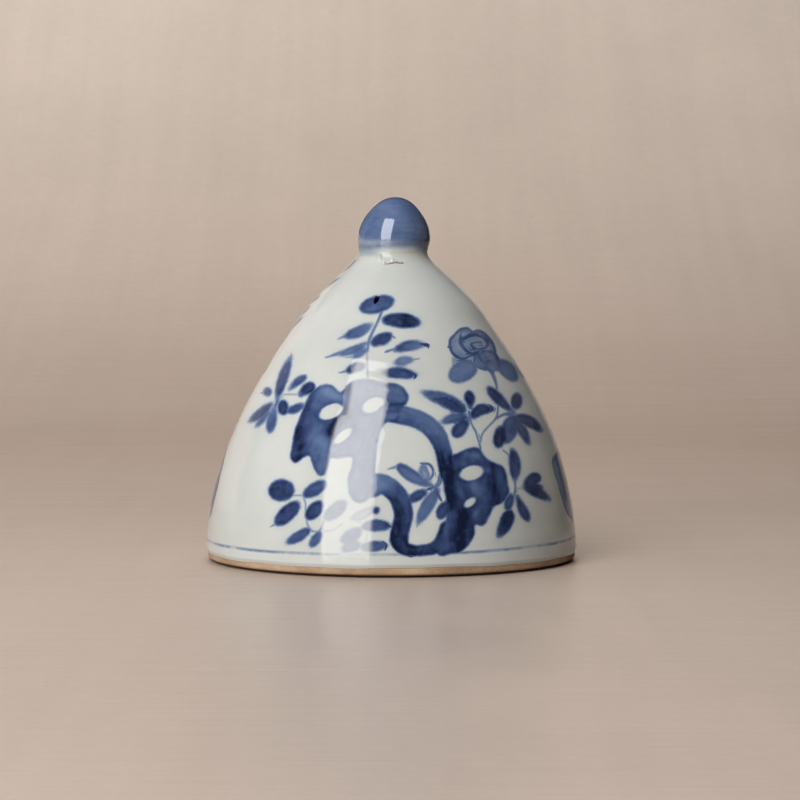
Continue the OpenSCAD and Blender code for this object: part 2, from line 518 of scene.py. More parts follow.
class Coat:
    # values brushed on to the points of the glaze
    def __init__(self, points, normals, outside):
        count = len(points)
        farOff = brushwork["farOff"]
        self.points, self.normals, self.outside = points, normals, outside
        self.ink = np.full(count, -farOff)      # mm inside the edge of a broad mark
        self.tone = np.full(count, 0.5)         # how much cobalt it holds
        self.rim = np.zeros(count)              # how much gathers along its edge
        self.grain = np.zeros((count, 3))       # along and across the brush, and a number for each mark
        self.line = np.zeros((count, 3))        # signed offset, half width and cobalt of the nearest line
        self.gap = np.full(count, farOff)       # mm to that line
        self.lineScore = np.full(count, farOff)
        self.cloud = np.zeros(count)            # how much the painted highlight pales the paint there
        self.marks = 0


def curveThrough(points, step=1.5, closed=False):
    # smooth curve through the points, with any further numbers carried along
    p = np.array(points, float)
    before, after = (p[-1:], p[:2]) if closed else (2 * p[:1] - p[1:2], 2 * p[-1:] - p[-2:-1])
    p = np.concatenate([before, p, after])
    out = []
    for a, b, c, d in zip(p, p[1:], p[2:], p[3:]):
        count = max(2, int(math.dist(b[:2], c[:2]) / step))
        t = np.linspace(0, 1, count, endpoint=False)[:, None]
        out.append(0.5 * (2 * b + (c - a) * t + (2 * a - 5 * b + 4 * c - d) * t ** 2
                          + (3 * b - a - 3 * c + d) * t ** 3))
    if not closed:
        out.append(p[-2:-1])
    return np.concatenate(out)


def offLine(places, line):
    # for every place its distance to the line, that distance signed, and its share of the length
    first, second = line[:-1, :2], line[1:, :2]
    run = second - first
    length = np.maximum(np.hypot(*run.T), tiny)
    way = run / length[:, None]
    rel = places[:, None, :] - first[None]
    along = np.clip(np.sum(rel * way, axis=2), 0, length)
    foot = rel - along[:, :, None] * way
    gaps = np.hypot(foot[:, :, 0], foot[:, :, 1])
    best = np.argmin(gaps, axis=1)
    pick = np.arange(len(places))
    side = way[best, 0] * rel[pick, best, 1] - way[best, 1] * rel[pick, best, 0]
    gap = gaps[pick, best]
    total = np.concatenate([[0], np.cumsum(length)])
    share = (total[best] + along[pick, best]) / total[-1]
    return gap, np.where(side < 0, -gap, gap), share, total[-1]


def readAlong(share, values):
    # values given at even steps of a line, read at shares of its length
    return np.interp(share, np.linspace(0, 1, len(values)), values)


def brush(coat, members, inside, tone, rim, grain):
    # later marks cover earlier ones, and outside every mark the nearest one counts
    coat.marks += 1
    taken = (inside > 0) | (inside > coat.ink[members])
    chosen = members[taken]
    coat.ink[chosen] = np.maximum(coat.ink[chosen], inside[taken])
    coat.tone[chosen] = np.broadcast_to(tone, inside.shape)[taken]
    coat.rim[chosen] = rim
    coat.grain[chosen, :2] = grain[taken]
    coat.grain[chosen, 2] = coat.marks * brushwork["grainStep"]


leafForms = {               # how pointed the ends are, and where the belly lies
    "round": (0.5, 1.0),
    "leaf": (0.62, 1.0),
    "club": (0.55, 1.5),
    "drop": (0.55, 0.7),
}


def pastEnd(places, end, inner):
    # how far each place lies beyond the end of a line
    way = (end - inner) / np.linalg.norm(end - inner)
    return np.maximum((places - end) @ way, 0)


def paintLeaf(sheet, x0, y0, x1, y1, width, tone, tip=None, bend=0.0, kind="leaf", rim=0.13):
    # one press of the brush from the stem end to the tip
    start, end = np.array([x0, y0]), np.array([x1, y1])
    side = np.array([-(y1 - y0), x1 - x0])
    spine = curveThrough([start, (start + end) / 2 + bend * side, end], 2.0)
    members, places = sheet.near(spine, width / 2 + brushwork["look"])
    if not len(members):
        return
    gap, offset, share, length = offLine(places, spine)
    point, belly = leafForms[kind]
    before = pastEnd(places, spine[0], spine[1]) * (share <= 0)
    after = pastEnd(places, spine[-1], spine[-2]) * (share > 1 - tiny)
    aside = gap ** 2 - before ** 2 - after ** 2
    t = share ** belly + (belly * after - before) / length
    full = 4 * t * (1 - t)
    shape = (width / 2) ** 2 * np.sign(full) * np.abs(full) ** (2 * point) - aside
    slope = (width / 2) ** 2 * 2 * point * np.abs(full) ** (2 * point - 1) * 4 * (1 - 2 * t) / length
    inside = shape / np.sqrt(slope ** 2 + 4 * aside + width ** 2 / 4)
    tipTone = tone if tip is None else tip
    tone = brushwork["leaf"] * (tone + (tipTone - tone) * share)
    grain = np.stack([share * length, offset], axis=1) / pixelsPerMm
    brush(sheet.coat, members, inside / pixelsPerMm, tone, rim, grain)


def paintBand(sheet, points, tone, rim=0.15, edge=0.0):
    # a broad stroke through [column, row, width], with tones along it
    band = curveThrough(points, 2.0)
    members, places = sheet.near(band[:, :2], band[:, 2].max() / 2 + brushwork["look"])
    gap, offset, share, length = offLine(places, band)
    half = readAlong(share, band[:, 2]) / 2
    shade = readAlong(share, tone)
    inside = (half - gap) / pixelsPerMm
    grain = np.stack([share * length, offset], axis=1) / pixelsPerMm
    brush(sheet.coat, members, inside, shade + edge * offset / half, rim, grain)


def insideOutline(places, outline):
    # signed distance to a closed outline, positive inside
    gap = offLine(places, np.concatenate([outline, outline[:1]]))[0]
    x, y = places[:, 0][:, None], places[:, 1][:, None]
    ax, ay = outline[:, 0][None], outline[:, 1][None]
    bx, by = np.roll(outline[:, 0], -1)[None], np.roll(outline[:, 1], -1)[None]
    crossing = ((ay > y) != (by > y)) & (x < (bx - ax) * (y - ay) / (by - ay + tiny * tiny) + ax)
    return np.where(crossing.sum(axis=1) % 2 == 1, gap, -gap)


def turned(places, middle, tilt):
    # places measured along and across a direction that rises by tilt degrees
    a = math.radians(tilt)
    x, y = places[:, 0] - middle[0], places[:, 1] - middle[1]
    return x * math.cos(a) - y * math.sin(a), x * math.sin(a) + y * math.cos(a)


def paintWash(sheet, outline, tone, holes=(), rim=0.2, brushAngle=60.0):
    # a filled outline with unpainted holes
    edge = curveThrough(outline, 2.5, closed=True)
    members, places = sheet.near(edge, brushwork["look"])
    inside = insideOutline(places, edge)
    for x, y, long, short, tilt in holes:
        u, v = turned(places, (x, y), tilt)
        reach = np.hypot(u / long, v / short)
        inside = np.minimum(inside, (reach - 1) * math.sqrt(long * short))
    grain = np.stack(turned(places, (0, 0), brushAngle), axis=1) / pixelsPerMm
    brush(sheet.coat, members, inside / pixelsPerMm, tone, rim, grain)


def paintLine(sheet, points, tone):
    # a thin line through [column, row, width]
    line = curveThrough(points, 1.5)
    members, places = sheet.near(line[:, :2], brushwork["lineLook"])
    if not len(members):
        return
    gap, offset, share, _ = offLine(places, line)
    half = readAlong(share, line[:, 2]) / 2 * sheet.lineWeight
    score = (gap - half) / pixelsPerMm
    coat = sheet.coat
    taken = score < coat.lineScore[members]
    chosen = members[taken]
    coat.lineScore[chosen] = score[taken]
    coat.gap[chosen] = gap[taken] / pixelsPerMm
    coat.line[chosen] = np.stack([offset / pixelsPerMm, half / pixelsPerMm,
                                  np.broadcast_to(tone, half.shape)], axis=1)[taken]


def paintPool(sheet, x0, y0, x1, y1, width, amount):
    # cobalt gathered or wiped away softly, inside what is painted already
    ends = np.array([[x0, y0, 0], [x1, y1, 0]], float)
    members, places = sheet.near(ends[:, :2], width * 1.6)
    gap = offLine(places, ends)[0]
    fade = np.exp(-(gap / (width / 2)) ** 2)
    sheet.coat.tone[members] += amount * fade


def paintHighlightBand(sheet):
    # the painted highlight: the band down the front where the cobalt is painted paler, under the softbox's
    # reflection
    band = curveThrough(highlightBand["band"], 2.0)
    outer, inner = highlightBand["fade"]
    members, places = sheet.near(band[:, :2], band[:, 2].max() / 2 + 2 * outer)
    gap, _, share, _ = offLine(places, band)
    outside = gap - readAlong(share, band[:, 2]) / 2
    sheet.coat.cloud[members] = highlightBand["amount"] * smoothStep(outer, -inner, outside)


# painting: rocks, a peony and leafy sprays, each group of marks where it stands on the front
# an outline is a list of points, a hole its middle, half length, half width and tilt, and a band
# or line its points with the width there; a pool runs from one point to another with its width
# and how much cobalt is gathered there, or wiped away

rocks = {
    "left": [
        (306, 402), (310, 394), (316, 388.5), (323, 385), (331, 385), (335.5, 388.5), (340, 392.5),
        (345, 389), (350, 383), (357, 380), (366, 379), (378, 381), (388, 383), (396, 384), (403, 387.5),
        (407.5, 394), (408.5, 399), (405, 405), (400, 410), (394, 420), (385, 423), (379, 434), (376, 450),
        (374.5, 468), (373, 488), (366, 501), (356, 502), (349.5, 494), (348, 478), (352, 466), (352, 457),
        (345, 457), (336, 458.5), (331, 458), (329, 462), (326.5, 470), (323.5, 475), (319.5, 475.5),
        (315.5, 471), (312.5, 464), (310.5, 457), (306.5, 455.5), (301, 459), (297.5, 462), (293.5, 462),
        (290.6, 457), (291.3, 451), (293, 441), (295.3, 429), (299, 420),
    ],
    "leftHoles": [(331, 411.5, 13, 7.2, 24), (373, 405, 12, 7, 25), (343, 436, 11.5, 4.4, 40)],
    "right": [
        (449, 457), (455, 454.5), (461, 452), (469, 448.3), (477, 447.6), (480.5, 450.4), (484, 455.5),
        (489, 460.5), (497, 463.9), (503, 467), (506, 474), (507.7, 484), (509, 493), (505, 500),
        (498.5, 504.8), (494, 506.5), (490, 514), (486, 522.5), (482, 525.7), (477, 524.5), (474.5, 525.5),
        (474.3, 534), (471, 541), (466, 547.6), (459.7, 552.4), (451, 553.6), (440, 555.6), (436, 548),
        (442, 534), (446, 518), (447, 505), (445, 492), (442.5, 478), (443, 466),
    ],
    "rightHoles": [(471.5, 473, 12.3, 7.4, 14), (470, 502.4, 7, 3.9, 38)],
    "arch": [
        (386, 413, 16), (398, 414.5, 18), (409, 416.5, 18), (420, 420.5, 18), (430, 427, 18),
        (437.5, 436, 18), (442.5, 448, 16), (445.5, 461, 16), (448, 474, 16),
    ],
    "archTones": [0.85, 0.62, 0.58, 0.58, 0.68, 0.80, 0.84],
    "bend": [
        (366, 487, 23), (374, 485, 23), (383, 484.5, 19.5), (391.5, 489, 19), (398, 496, 19),
        (401.7, 505, 19), (403.5, 514, 18.5), (402, 524, 18), (399.7, 533, 17.5), (399.5, 541, 18),
        (404, 548, 14), (414, 550.5, 10.5), (425, 550, 10.5), (434, 548, 12), (442, 541, 14),
        (447, 528, 14),
    ],
    "bendTones": [0.48, 0.50, 0.72, 0.84, 0.86, 0.88, 0.90, 0.86, 0.86, 0.90],
}

rockPools = [
    (306, 412, 299, 436, 15, 0.36), (299, 434, 297, 458, 15, 0.38), (304, 445, 301, 456, 10, 0.2),
    (347, 414, 331, 431, 12, 0.55), (340, 420, 331, 433, 9, 0.3), (347, 388, 347, 408, 8, 0.3),
    (312, 398, 307, 406, 7, 0.25), (328, 391, 342, 397, 12, -0.34), (322, 440, 324, 452, 9, -0.16),
    (388, 405, 404, 404, 4, 0.4), (387, 412, 398, 410, 5, 0.25), (400, 390, 405, 397, 7, -0.05),
    (450, 462, 452, 505, 11, 0.34), (446, 470, 448, 492, 8, 0.2), (492, 468, 496, 498, 8, 0.25),
    (474, 485, 478, 494, 12, -0.42), (478, 468, 488, 470, 7, -0.45), (464, 515, 458, 546, 14, 0.5),
    (443, 548, 452, 545, 8, -0.15), (502, 474, 504, 492, 5, -0.12), (466, 454, 478, 456, 7, -0.32),
    (478, 509, 474, 515, 10, -0.26), (447, 512, 446, 540, 6, -0.18), (497, 504, 491, 503, 5, 0.2),
    (396, 500, 399, 530, 6, 0.14), (407, 505, 407, 520, 5, -0.12), (393, 534, 396, 546, 5, 0.2),
    (375, 482, 384, 485, 9, -0.10), (440, 452, 446, 466, 5, 0.2), (455, 497, 483, 511, 5, 0.12),
]

# a leaf is its stem end, tip, width, tone, tone at the tip, bend, kind and rim
# a line is its tone and then column, row and width along it, and a petal its tone and outline

groups = {
    "top": {
        "leaves": [
            (360, 309, 393.5, 300, 16.5, 0.72, 0.74, 0.0, "round", 0.25),
            (382.5, 320, 420, 323, 14.2, 0.94, 1.04, -0.03, "round"),
            (372, 324, 344.4, 336.6, 10.5, 0.5, 0.84, -0.05),
            (371, 343.5, 391.5, 334.5, 11.5, 0.95, 0.85, 0.03, "round"),
            (368, 343, 338, 354.5, 8, 0.62, 0.55, -0.05), (394.5, 350, 424.5, 344.5, 10, 0.92, 0.5, -0.05),
            (368, 350, 352.5, 357.3, 6.8, 0.55, 0.55, 0.0, "round"),
            (394, 363.3, 413, 359.5, 9, 0.54, 0.48, -0.03),
            (366, 365, 346.5, 371.3, 9, 0.8, 0.95, 0.03, "round"),
            (383, 373, 416, 375, 10.6, 0.92, 0.9, -0.03),
        ],
        "lines": [
            (0.50, (381.5, 312, 3), (378, 321, 2.6), (373, 331, 3), (368.5, 343, 3.4), (367, 356, 2.6),
             (368, 380, 2.4)),
            (0.45, (345, 336, 3), (338.5, 338.9, 1.2)), (0.5, (390, 335, 2.4), (394.3, 337.4, 1.4)),
            (0.45, (340, 353, 4), (326.3, 357.4, 1.2)), (0.5, (386.5, 351.6, 2.6), (396, 348.4, 2.2)),
            (0.9, (421, 344, 2.6), (427.5, 345.2, 3.6), (428.3, 346, 2.6)),
            (0.4, (354, 356.6, 2.6), (346, 357.5, 1.2)), (0.35, (411, 360, 2.6), (419, 358.7, 1.0)),
            (0.45, (348, 370.6, 3), (339.5, 372.7, 1.2)),
            (0.9, (413, 373.2, 2.4), (415.8, 375.4, 3), (414.8, 377.6, 2)),
        ],
    },
    "left": {
        "leaves": [
            (277, 398, 290.7, 357.5, 9.3, 0.9, 0.8, -0.02),
            (289.2, 389.5, 306.2, 376, 7.4, 0.72, 0.78, -0.04, "club"),
            (299.5, 395.7, 314.8, 384.6, 10.8, 0.92, 0.95, -0.06, "club"),
            (263.5, 393.2, 271.3, 390.5, 8.4, 0.72, 0.8, 0.0, "round"),
            (271.6, 403.3, 249.5, 421.3, 8.6, 0.88, 0.85, -0.03), (270, 410, 256.5, 426.5, 5.6, 0.62, 0.7),
            (275.8, 404, 269.6, 432.8, 9.0, 0.6, 0.78, 0.02, "club"),
            (282.5, 400, 283.5, 414.8, 10.4, 0.95, 0.98, 0.0, "round"),
            (287, 411.5, 303.5, 404.5, 8.0, 0.85, 0.75, 0.05, "round"),
        ],
        "lines": [
            (0.5, (290, 361, 3.4), (291.5, 354.4, 1.4)),
            (0.6, (278, 399, 3.2), (275.5, 406, 3), (273, 414, 2.4)),
            (0.28, (278, 397.5, 2.4), (284, 394.6, 2), (300, 394.4, 1.6)),
            (0.5, (262.2, 393.2, 1.6), (265, 392.6, 2.6)), (0.5, (252, 419.3, 2.6), (248.2, 422.4, 1.2)),
            (0.3, (279, 399, 3), (286, 407, 2.2)),
        ],
    },
    "middle": {
        "leaves": [
            (465.5, 412, 422, 392.5, 14, 0.78, 0.66, 0.05, "drop", 0.1),
            (462.5, 411.5, 434, 397.5, 8.5, 1.0, 0.92, 0.04, "drop", 0.0),
            (471, 408.5, 468, 391, 9.8, 0.95, 0.98, 0.02, "club"),
            (470.5, 418, 492.8, 409, 10.8, 0.93, 0.98, -0.16), (469, 417.5, 441, 422, 9.6, 0.8, 0.62, 0.06),
            (469.5, 418.5, 453.6, 436.6, 13, 0.82, 0.92, 0.02, "club"),
        ],
        "lines": [
            (0.55, (469.5, 413, 3.4), (471.3, 423, 1.8), (476, 432.5, 1.7), (479, 442.5, 1.8),
             (480.6, 449, 2)),
            (0.9, (490.5, 406.2, 2.6), (492.7, 409.3, 3.2), (491.5, 411, 2)),
        ],
    },
    "right": {
        "leaves": [
            (513.5, 412.5, 487.5, 387.3, 9.8, 0.92, 0.95, -0.02, "club"),
            (515.5, 409.2, 517.5, 393.2, 10.8, 0.9, 0.85, 0.0, "round"),
            (512, 417, 541.5, 430.6, 10.4, 0.82, 0.92, -0.1),
            (514, 418, 529, 443.6, 8.8, 0.78, 0.86, -0.03),
            (515.5, 415, 504, 443, 17, 0.72, 0.78, 0.0, "round", 0.05),
            (502.5, 426, 498, 447.6, 12.2, 1.10, 1.12, 0.02, "round", 0.0),
        ],
        "lines": [
            (0.5, (491, 371, 3.8), (495, 380, 3.2), (497.3, 392, 1.9), (498, 405, 1.8), (496.5, 417, 2),
             (489, 426, 1.7), (482.6, 433.5, 1.6), (480.3, 443, 1.6)),
            (0.5, (497, 418, 2), (504, 414.5, 3), (512, 414, 5)),
            (0.4, (503.5, 450.5, 1.6), (508, 454.5, 1.8), (511.5, 460, 1.6)),
        ],
    },
    "lowRight": {
        "leaves": [
            (515, 480, 512.3, 449.3, 11, 0.86, 0.88, 0.04),
            (523.5, 487.6, 540.5, 476, 12, 0.9, 0.95, -0.06, "club"),
            (525, 487, 543, 489, 11, 0.92, 0.92, 0.0, "round", 0.0),
            (523.5, 487, 549.5, 499.6, 9.6, 0.95, 0.86, -0.04),
            (511.5, 494, 506.6, 510, 8.4, 0.85, 0.85, 0.0, "round"),
            (510.5, 510.5, 498.6, 537, 13, 0.92, 0.95, -0.03, "drop"),
            (516.5, 495.5, 528.8, 521, 8.8, 0.84, 0.86, 0.02, "club"),
        ],
        "lines": [
            (0.5, (514.8, 478, 3), (515.2, 487, 2), (514, 497, 2.4)),
            (0.25, (515.4, 488.6, 2), (525, 488.3, 2)),
        ],
    },
    "lowLeft": {
        "leaves": [
            (268.7, 491.3, 294.2, 489.3, 21.6, 1.0, 0.94, 0.0, "round", 0.05),
            (303.6, 496, 326.2, 482.4, 12.6, 0.9, 0.85, 0.0, "round"),
            (298.8, 502.5, 275.8, 524.3, 14.8, 0.9, 0.95, 0.0, "round", 0.15),
            (322, 502.3, 306.8, 518.6, 13.2, 0.88, 0.92, 0.0, "round", 0.25),
            (310, 529.3, 286.8, 542.8, 9.6, 0.85, 0.74, -0.02, "round"),
            (321.5, 532, 310.3, 546.3, 9, 0.68, 0.78, 0.0, "round"),
            (346, 501.5, 324.7, 519.3, 13.6, 0.62, 0.62, 0.0, "round"),
            (361, 529, 341, 541.5, 13.4, 0.6, 0.66, -0.04, "round"),
            (361, 544, 341.5, 549.5, 10.5, 0.62, 0.58, 0.0, "round"),
            (375, 507.5, 351, 518.6, 8.6, 0.2, 0.16, -0.05, "leaf", 0.35),
            (362, 527, 390, 526, 11.2, 0.85, 0.85, -0.04, "round"),
            (360, 547.5, 386.8, 545.3, 10, 0.62, 0.75, 0.0, "round"),
            (374, 508, 378.2, 512.5, 6.4, 0.85, 0.95, 0.0, "round"),
        ],
        "lines": [
            (0.3, (293, 495.6, 2.4), (299, 495.4, 2), (304, 495.8, 2.2)),
            (0.35, (303.5, 497, 2), (305.6, 504, 2), (305.6, 513, 1.8), (307.4, 524, 2), (311, 530.4, 2.8),
             (317, 531.6, 2), (321, 529, 2), (324, 520, 1.8)),
            (0.45, (277.5, 523, 3.6), (271.3, 526.3, 1.4)),
            (0.25, (322, 531.5, 2), (333, 530, 1.8), (342, 524, 1.6)),
            (0.25, (352, 519, 1.6), (361, 523.5, 1.6), (366, 531, 1.6), (366.5, 539, 1.6),
             (362, 545.5, 1.6)),
            (0.9, (386, 524.4, 4), (390.3, 526.6, 2)),
            (0.85, (383.5, 542.5, 2.5), (386.5, 545.5, 3), (385, 548.8, 2)),
        ],
    },
    "inner": {
        "leaves": [
            (433.5, 487, 397, 465, 11.5, 0.55, 0.66, -0.04, "club", 0.34),
            (430, 480, 423, 463.6, 8.4, 0.30, 0.38, -0.14, "leaf", 0.3),
            (426.5, 491.5, 409, 501.6, 9.2, 0.8, 0.85, 0.05, "round", 0.3),
            (438.7, 488.5, 417.8, 523.4, 12, 0.60, 0.58, 0.02, "leaf", 0.2),
            (448.5, 502.5, 439.2, 519, 11.4, 0.82, 0.86, 0.05, "round", 0.3),
        ],
        "lines": [
            (0.4, (398, 466, 3), (394, 467.5, 2.6), (388.5, 469, 1.4)),
            (0.55, (441.5, 474, 6), (439, 483, 5), (433, 488.5, 3)),
            (0.6, (421.8, 463.8, 2.4), (429, 464.2, 2.6), (433, 470, 2.6), (432.4, 476, 2.2),
             (429.5, 480, 2)),
            (0.7, (436, 488, 3.4), (437.5, 494, 4), (441, 500, 2)),
            (0.5, (418.6, 520, 2.4), (417, 526.5, 1.2)), (0.8, (427, 489.6, 2.4), (433, 487.6, 2.4)),
            (0.85, (404, 553.6, 3.6), (411.8, 556.4, 2)),
        ],
    },
    "peony": {
        "petals": [
            (0.33, [(450, 345), (451, 339), (456, 334), (461, 329.5), (468, 328.8), (474, 331.5),
              (480, 331), (485, 334), (490, 339.5), (493.5, 345), (495, 351), (494, 357), (488, 356),
              (480, 352), (474, 354.5), (466, 358.6), (459, 358), (453, 353)]),
            (0.30, [(452, 357), (458, 359), (466, 359.5), (474, 355), (477, 357), (476, 364), (468, 363),
              (459, 366), (454, 371)]),
            (0.46, [(475, 356), (480, 352.5), (489, 351.5), (495.5, 355), (498.5, 362), (500, 369),
              (493, 372), (487, 370), (480, 367.5), (475.5, 363)]),
        ],
        "leaves": [
            (476.5, 365.5, 449.5, 378.5, 20, 0.5, 0.56, 0.02, "round", 0.2),
            (496, 361, 516.5, 380.5, 14.5, 0.56, 0.46, -0.05, "round", 0.2),
        ],
        "lines": [
            (0.72, (450, 347, 2.6), (450.6, 340, 2.8), (455, 335, 2.6), (460, 330, 2.6), (467, 328.8, 2.8),
             (472.5, 332.5, 3), (478, 330.8, 2.4), (484, 333.6, 2.6), (489.5, 339.5, 3),
             (493.3, 345.5, 2.6), (495, 352, 2.8)),
            (0.78, (450, 347, 2.6), (452.8, 352.8, 3), (458, 357.4, 3.2), (464, 358.6, 2.8),
             (470.5, 355.8, 2.6), (477.5, 353.4, 4)),
            (0.85, (460.6, 335.6, 2.6), (460.6, 342.5, 4), (464.9, 349.3, 3.4), (470.6, 353.4, 3),
             (477, 353.6, 4)),
            (0.85, (461.5, 339.8, 3), (465, 338, 4), (471, 335.3, 3.6), (478, 335.4, 2.6),
             (484.4, 338.6, 3), (487.8, 343.3, 3.4), (486, 347, 2.6), (480.5, 348.8, 2.2)),
            (0.75, (480, 342.4, 2), (475, 342.4, 2), (471, 344.6, 3.2), (473.6, 347.8, 3.2),
             (478.5, 349.6, 2.4), (485, 350.6, 2)),
            (0.7, (477.5, 353.6, 4), (474.8, 358, 3), (474.8, 363, 2.6), (478.5, 367.2, 2.6),
             (486, 369.6, 2.4)),
            (0.8, (482.3, 352, 2.4), (490, 351.6, 3), (495.4, 355.5, 3.4), (498, 361.5, 5),
             (499.5, 366.5, 4)),
            (0.75, (478, 354, 4), (482.4, 361.4, 3), (490, 360.6, 2.6)),
            (0.7, (482.6, 361.4, 3), (487, 366.6, 3.6), (492, 371.5, 4.4)),
            (0.6, (456, 365.2, 2), (462, 363, 2.6), (468, 362.6, 2.8), (474, 364.5, 2)),
        ],
    },
}

# painted highlight: down the front, where the softbox's reflection falls, the cobalt is painted paler

highlightBand = {
    "band": [
        (380, 349, 8), (377, 357, 24), (371, 372, 35), (370, 382, 36), (368, 398, 36), (366, 411, 37),
        (363, 424, 39), (357, 433, 46), (354, 448, 47), (350, 474, 49), (347, 520, 50), (346, 556, 52),
    ],
    "amount": 0.86,
    "fade": (2.0, 3.0),     # pixels outside and inside the band's edge
}


def paintRocks(sheet):
    paintBand(sheet, rocks["arch"], rocks["archTones"], 0.2, 0.10)
    paintBand(sheet, rocks["bend"], rocks["bendTones"], 0.22, 0.05)
    paintWash(sheet, rocks["left"], 0.60, rocks["leftHoles"], 0.30, 70)
    paintWash(sheet, rocks["right"], 0.76, rocks["rightHoles"], 0.18, 95)
    for *place, amount in rockPools:
        paintPool(sheet, *place, amount * brushwork["pool"])


def paintGroup(sheet, name):
    group = groups[name]
    for tone, outline in group.get("petals", ()):
        paintWash(sheet, outline, tone, (), 0.06, 30)
    for leaf in group["leaves"]:
        paintLeaf(sheet, *leaf)
    load = brushwork["flowerLine"] if name == "peony" else brushwork["line"]
    swell = brushwork["flowerSwell"] if name == "peony" else 1.0
    for tone, *line in group["lines"]:
        paintLine(sheet, [(x, y, wide * swell) for x, y, wide in line], tone * load)


def paintView(sheet):
    paintRocks(sheet)
    for name in groups:
        paintGroup(sheet, name)


# the sides and the back carry the same motifs, in another order

sideRocks = {
    90.0: {
        "outline": [
            (366, 460), (374, 450), (386, 444), (397, 449), (410, 443), (421, 449), (428, 457), (427, 466),
            (432, 474), (436, 492), (428, 508), (416, 515), (407, 528), (393, 534), (382, 528), (371, 531),
            (359, 536), (347, 532), (337, 527), (330, 519), (325, 502), (323, 482), (327, 468), (344, 464),
        ],
        "holes": [(386, 449, 13, 7.5, 20), (406, 485, 11, 6.5, 35)],
        "pools": [
            (344, 462, 342, 505, 12, 0.3), (420, 442, 422, 470, 10, 0.3), (392, 464, 382, 500, 12, -0.2),
        ],
        "tone": 0.27,
    },
    270.0: {
        "outline": [
            (424, 479), (430, 494), (431, 511), (427, 526), (418, 533), (407, 526), (396, 512), (384, 515),
            (373, 528), (356, 532), (339, 525), (326, 511), (319, 491), (324, 471), (337, 461), (347, 449),
            (362, 443), (375, 449), (384, 463), (396, 461), (407, 461), (417, 468),
        ],
        "holes": [(358, 470, 14, 8, 15), (406, 486, 8, 11, 0), (371, 500, 9, 5, 30)],
        "pools": [
            (335, 470, 332, 505, 12, 0.3), (432, 474, 433, 510, 9, 0.25), (388, 470, 392, 498, 10, -0.2),
        ],
        "tone": 0.62,
    },
}
backTurn = 188.0            # the back carries the front's painting, mirrored
sideGroups = [("peony", 51.0), ("right", 51.0), ("peony", 196.0), ("right", 196.0), ("lowRight", 184.0)]
sideSprays = [              # turn, then root, heading, length, pairs of leaves, leaf length, seed
    (90.0, 448, 532, 84, 70, 3, 20, 5),
    (114.0, 388, 334, 96, 58, 3, 14, 8),
    (270.0, 403, 346, 91, 70, 4, 15, 3),
    (270.0, 352, 402, 118, 44, 2, 17, 11),
    (180.0, 396, 536, 100, 40, 2, 18, 14),
]

spray = {                   # ranges from which each stem and leaf takes its own value
    "stem": (2.2, 0.5),     # width and tone
    "bow": (-0.10, 0.10),   # sideways, as a share of the length
    "lean": (48, 76),       # degrees between leaf and stem
    "long": (0.8, 1.15),
    "shorten": 0.22,        # how much the leaves shorten towards the end
    "stalk": 3,
    "tone": (0.6, 0.95),
    "tipTone": 0.06,
    "wide": (0.36, 0.52),   # as a share of the leaf's length
    "bend": 0.05,
    "pointed": 0.6,         # share of the leaves that are pointed
}


def paintSpray(sheet, x, y, heading, length, pairs, size, seed):
    # a bent stem with leaves in pairs and one at its end
    chance = np.random.default_rng(seed)
    a = math.radians(heading)
    way, side = np.array([math.cos(a), -math.sin(a)]), np.array([math.sin(a), math.cos(a)])
    bow = chance.uniform(*spray["bow"]) * length
    shares = np.linspace(0, 1, pairs + 2)
    stem = [np.array([x, y]) + way * length * t + side * bow * 4 * t * (1 - t) for t in shares]
    stemWidth, stemTone = spray["stem"]
    paintLine(sheet, [(*place, stemWidth) for place in stem], stemTone)
    for i, place in enumerate(stem[1:]):
        leans = (0,) if i == pairs else (-1, 1)
        for lean in leans:
            a = math.radians(heading + lean * chance.uniform(*spray["lean"]))
            out = np.array([math.cos(a), -math.sin(a)])
            long = size * chance.uniform(*spray["long"]) * (1 - spray["shorten"] * i / pairs)
            start, end = place + out * spray["stalk"], place + out * (spray["stalk"] + long)
            tone = chance.uniform(*spray["tone"])
            width = long * chance.uniform(*spray["wide"])
            kind = "leaf" if chance.uniform() < spray["pointed"] else "round"
            paintLeaf(sheet, *start, *end, width, tone, tone + spray["tipTone"], lean * spray["bend"], kind)


def paintSides(coat):
    paintView(Sheet(coat, backTurn, flip=True))
    for turn, rock in sideRocks.items():
        sheet = Sheet(coat, turn)
        paintWash(sheet, rock["outline"], rock["tone"], rock["holes"], 0.28, 80)
        for *place, amount in rock["pools"]:
            paintPool(sheet, *place, amount)
    for name, turn in sideGroups:
        paintGroup(Sheet(coat, turn), name)
    for turn, *place in sideSprays:
        paintSpray(Sheet(coat, turn), *place)


# body: the glazed skin, the wall line turned round the axis, with the drip hole drawn into it

body = {
    "columns": 440,
    "crowding": 0.26,       # how much closer the columns stand at the hole than on average
    "rowStep": 0.40,
    "fineStep": 0.14,       # near the neck and the glaze line
    "fineReach": (3.6, 0.8),    # how far that goes from each
    "stepGrowth": 1.12,
    "insideEvery": 14,      # how many outer rings there are to one on the inside
    "holeHeight": 45.5,
    "holeTurn": -11.3,      # degrees from the front, to the left
    "holeHalf": (0.40, 0.84),
    "holeInside": (0.30, 0.55),
    "holeLean": 0.30,       # the hole leans and widens upwards, like a comma
    "holeWiden": 0.25,
    "holeSink": (0.16, 0.2),    # how deep its rim sinks in, and over what width
    "holeSpread": 1.15,     # how fast the rings round it pass into the grid
    "holeCells": 4,         # grid cells cut away on each side
    "patchCells": 14,       # grid cells drawn towards the hole on each side
    "insideCells": 2,       # the same on the inside, past those cut away
    "edgeRings": [(0.3, -0.1), (0.2, -0.14), (0.08, -0.1)],     # depth and drop of the rounded lower edge
    "ridge": 0.013,         # throwing ridges
    "sway": 0.05,           # the wall is not quite true
}


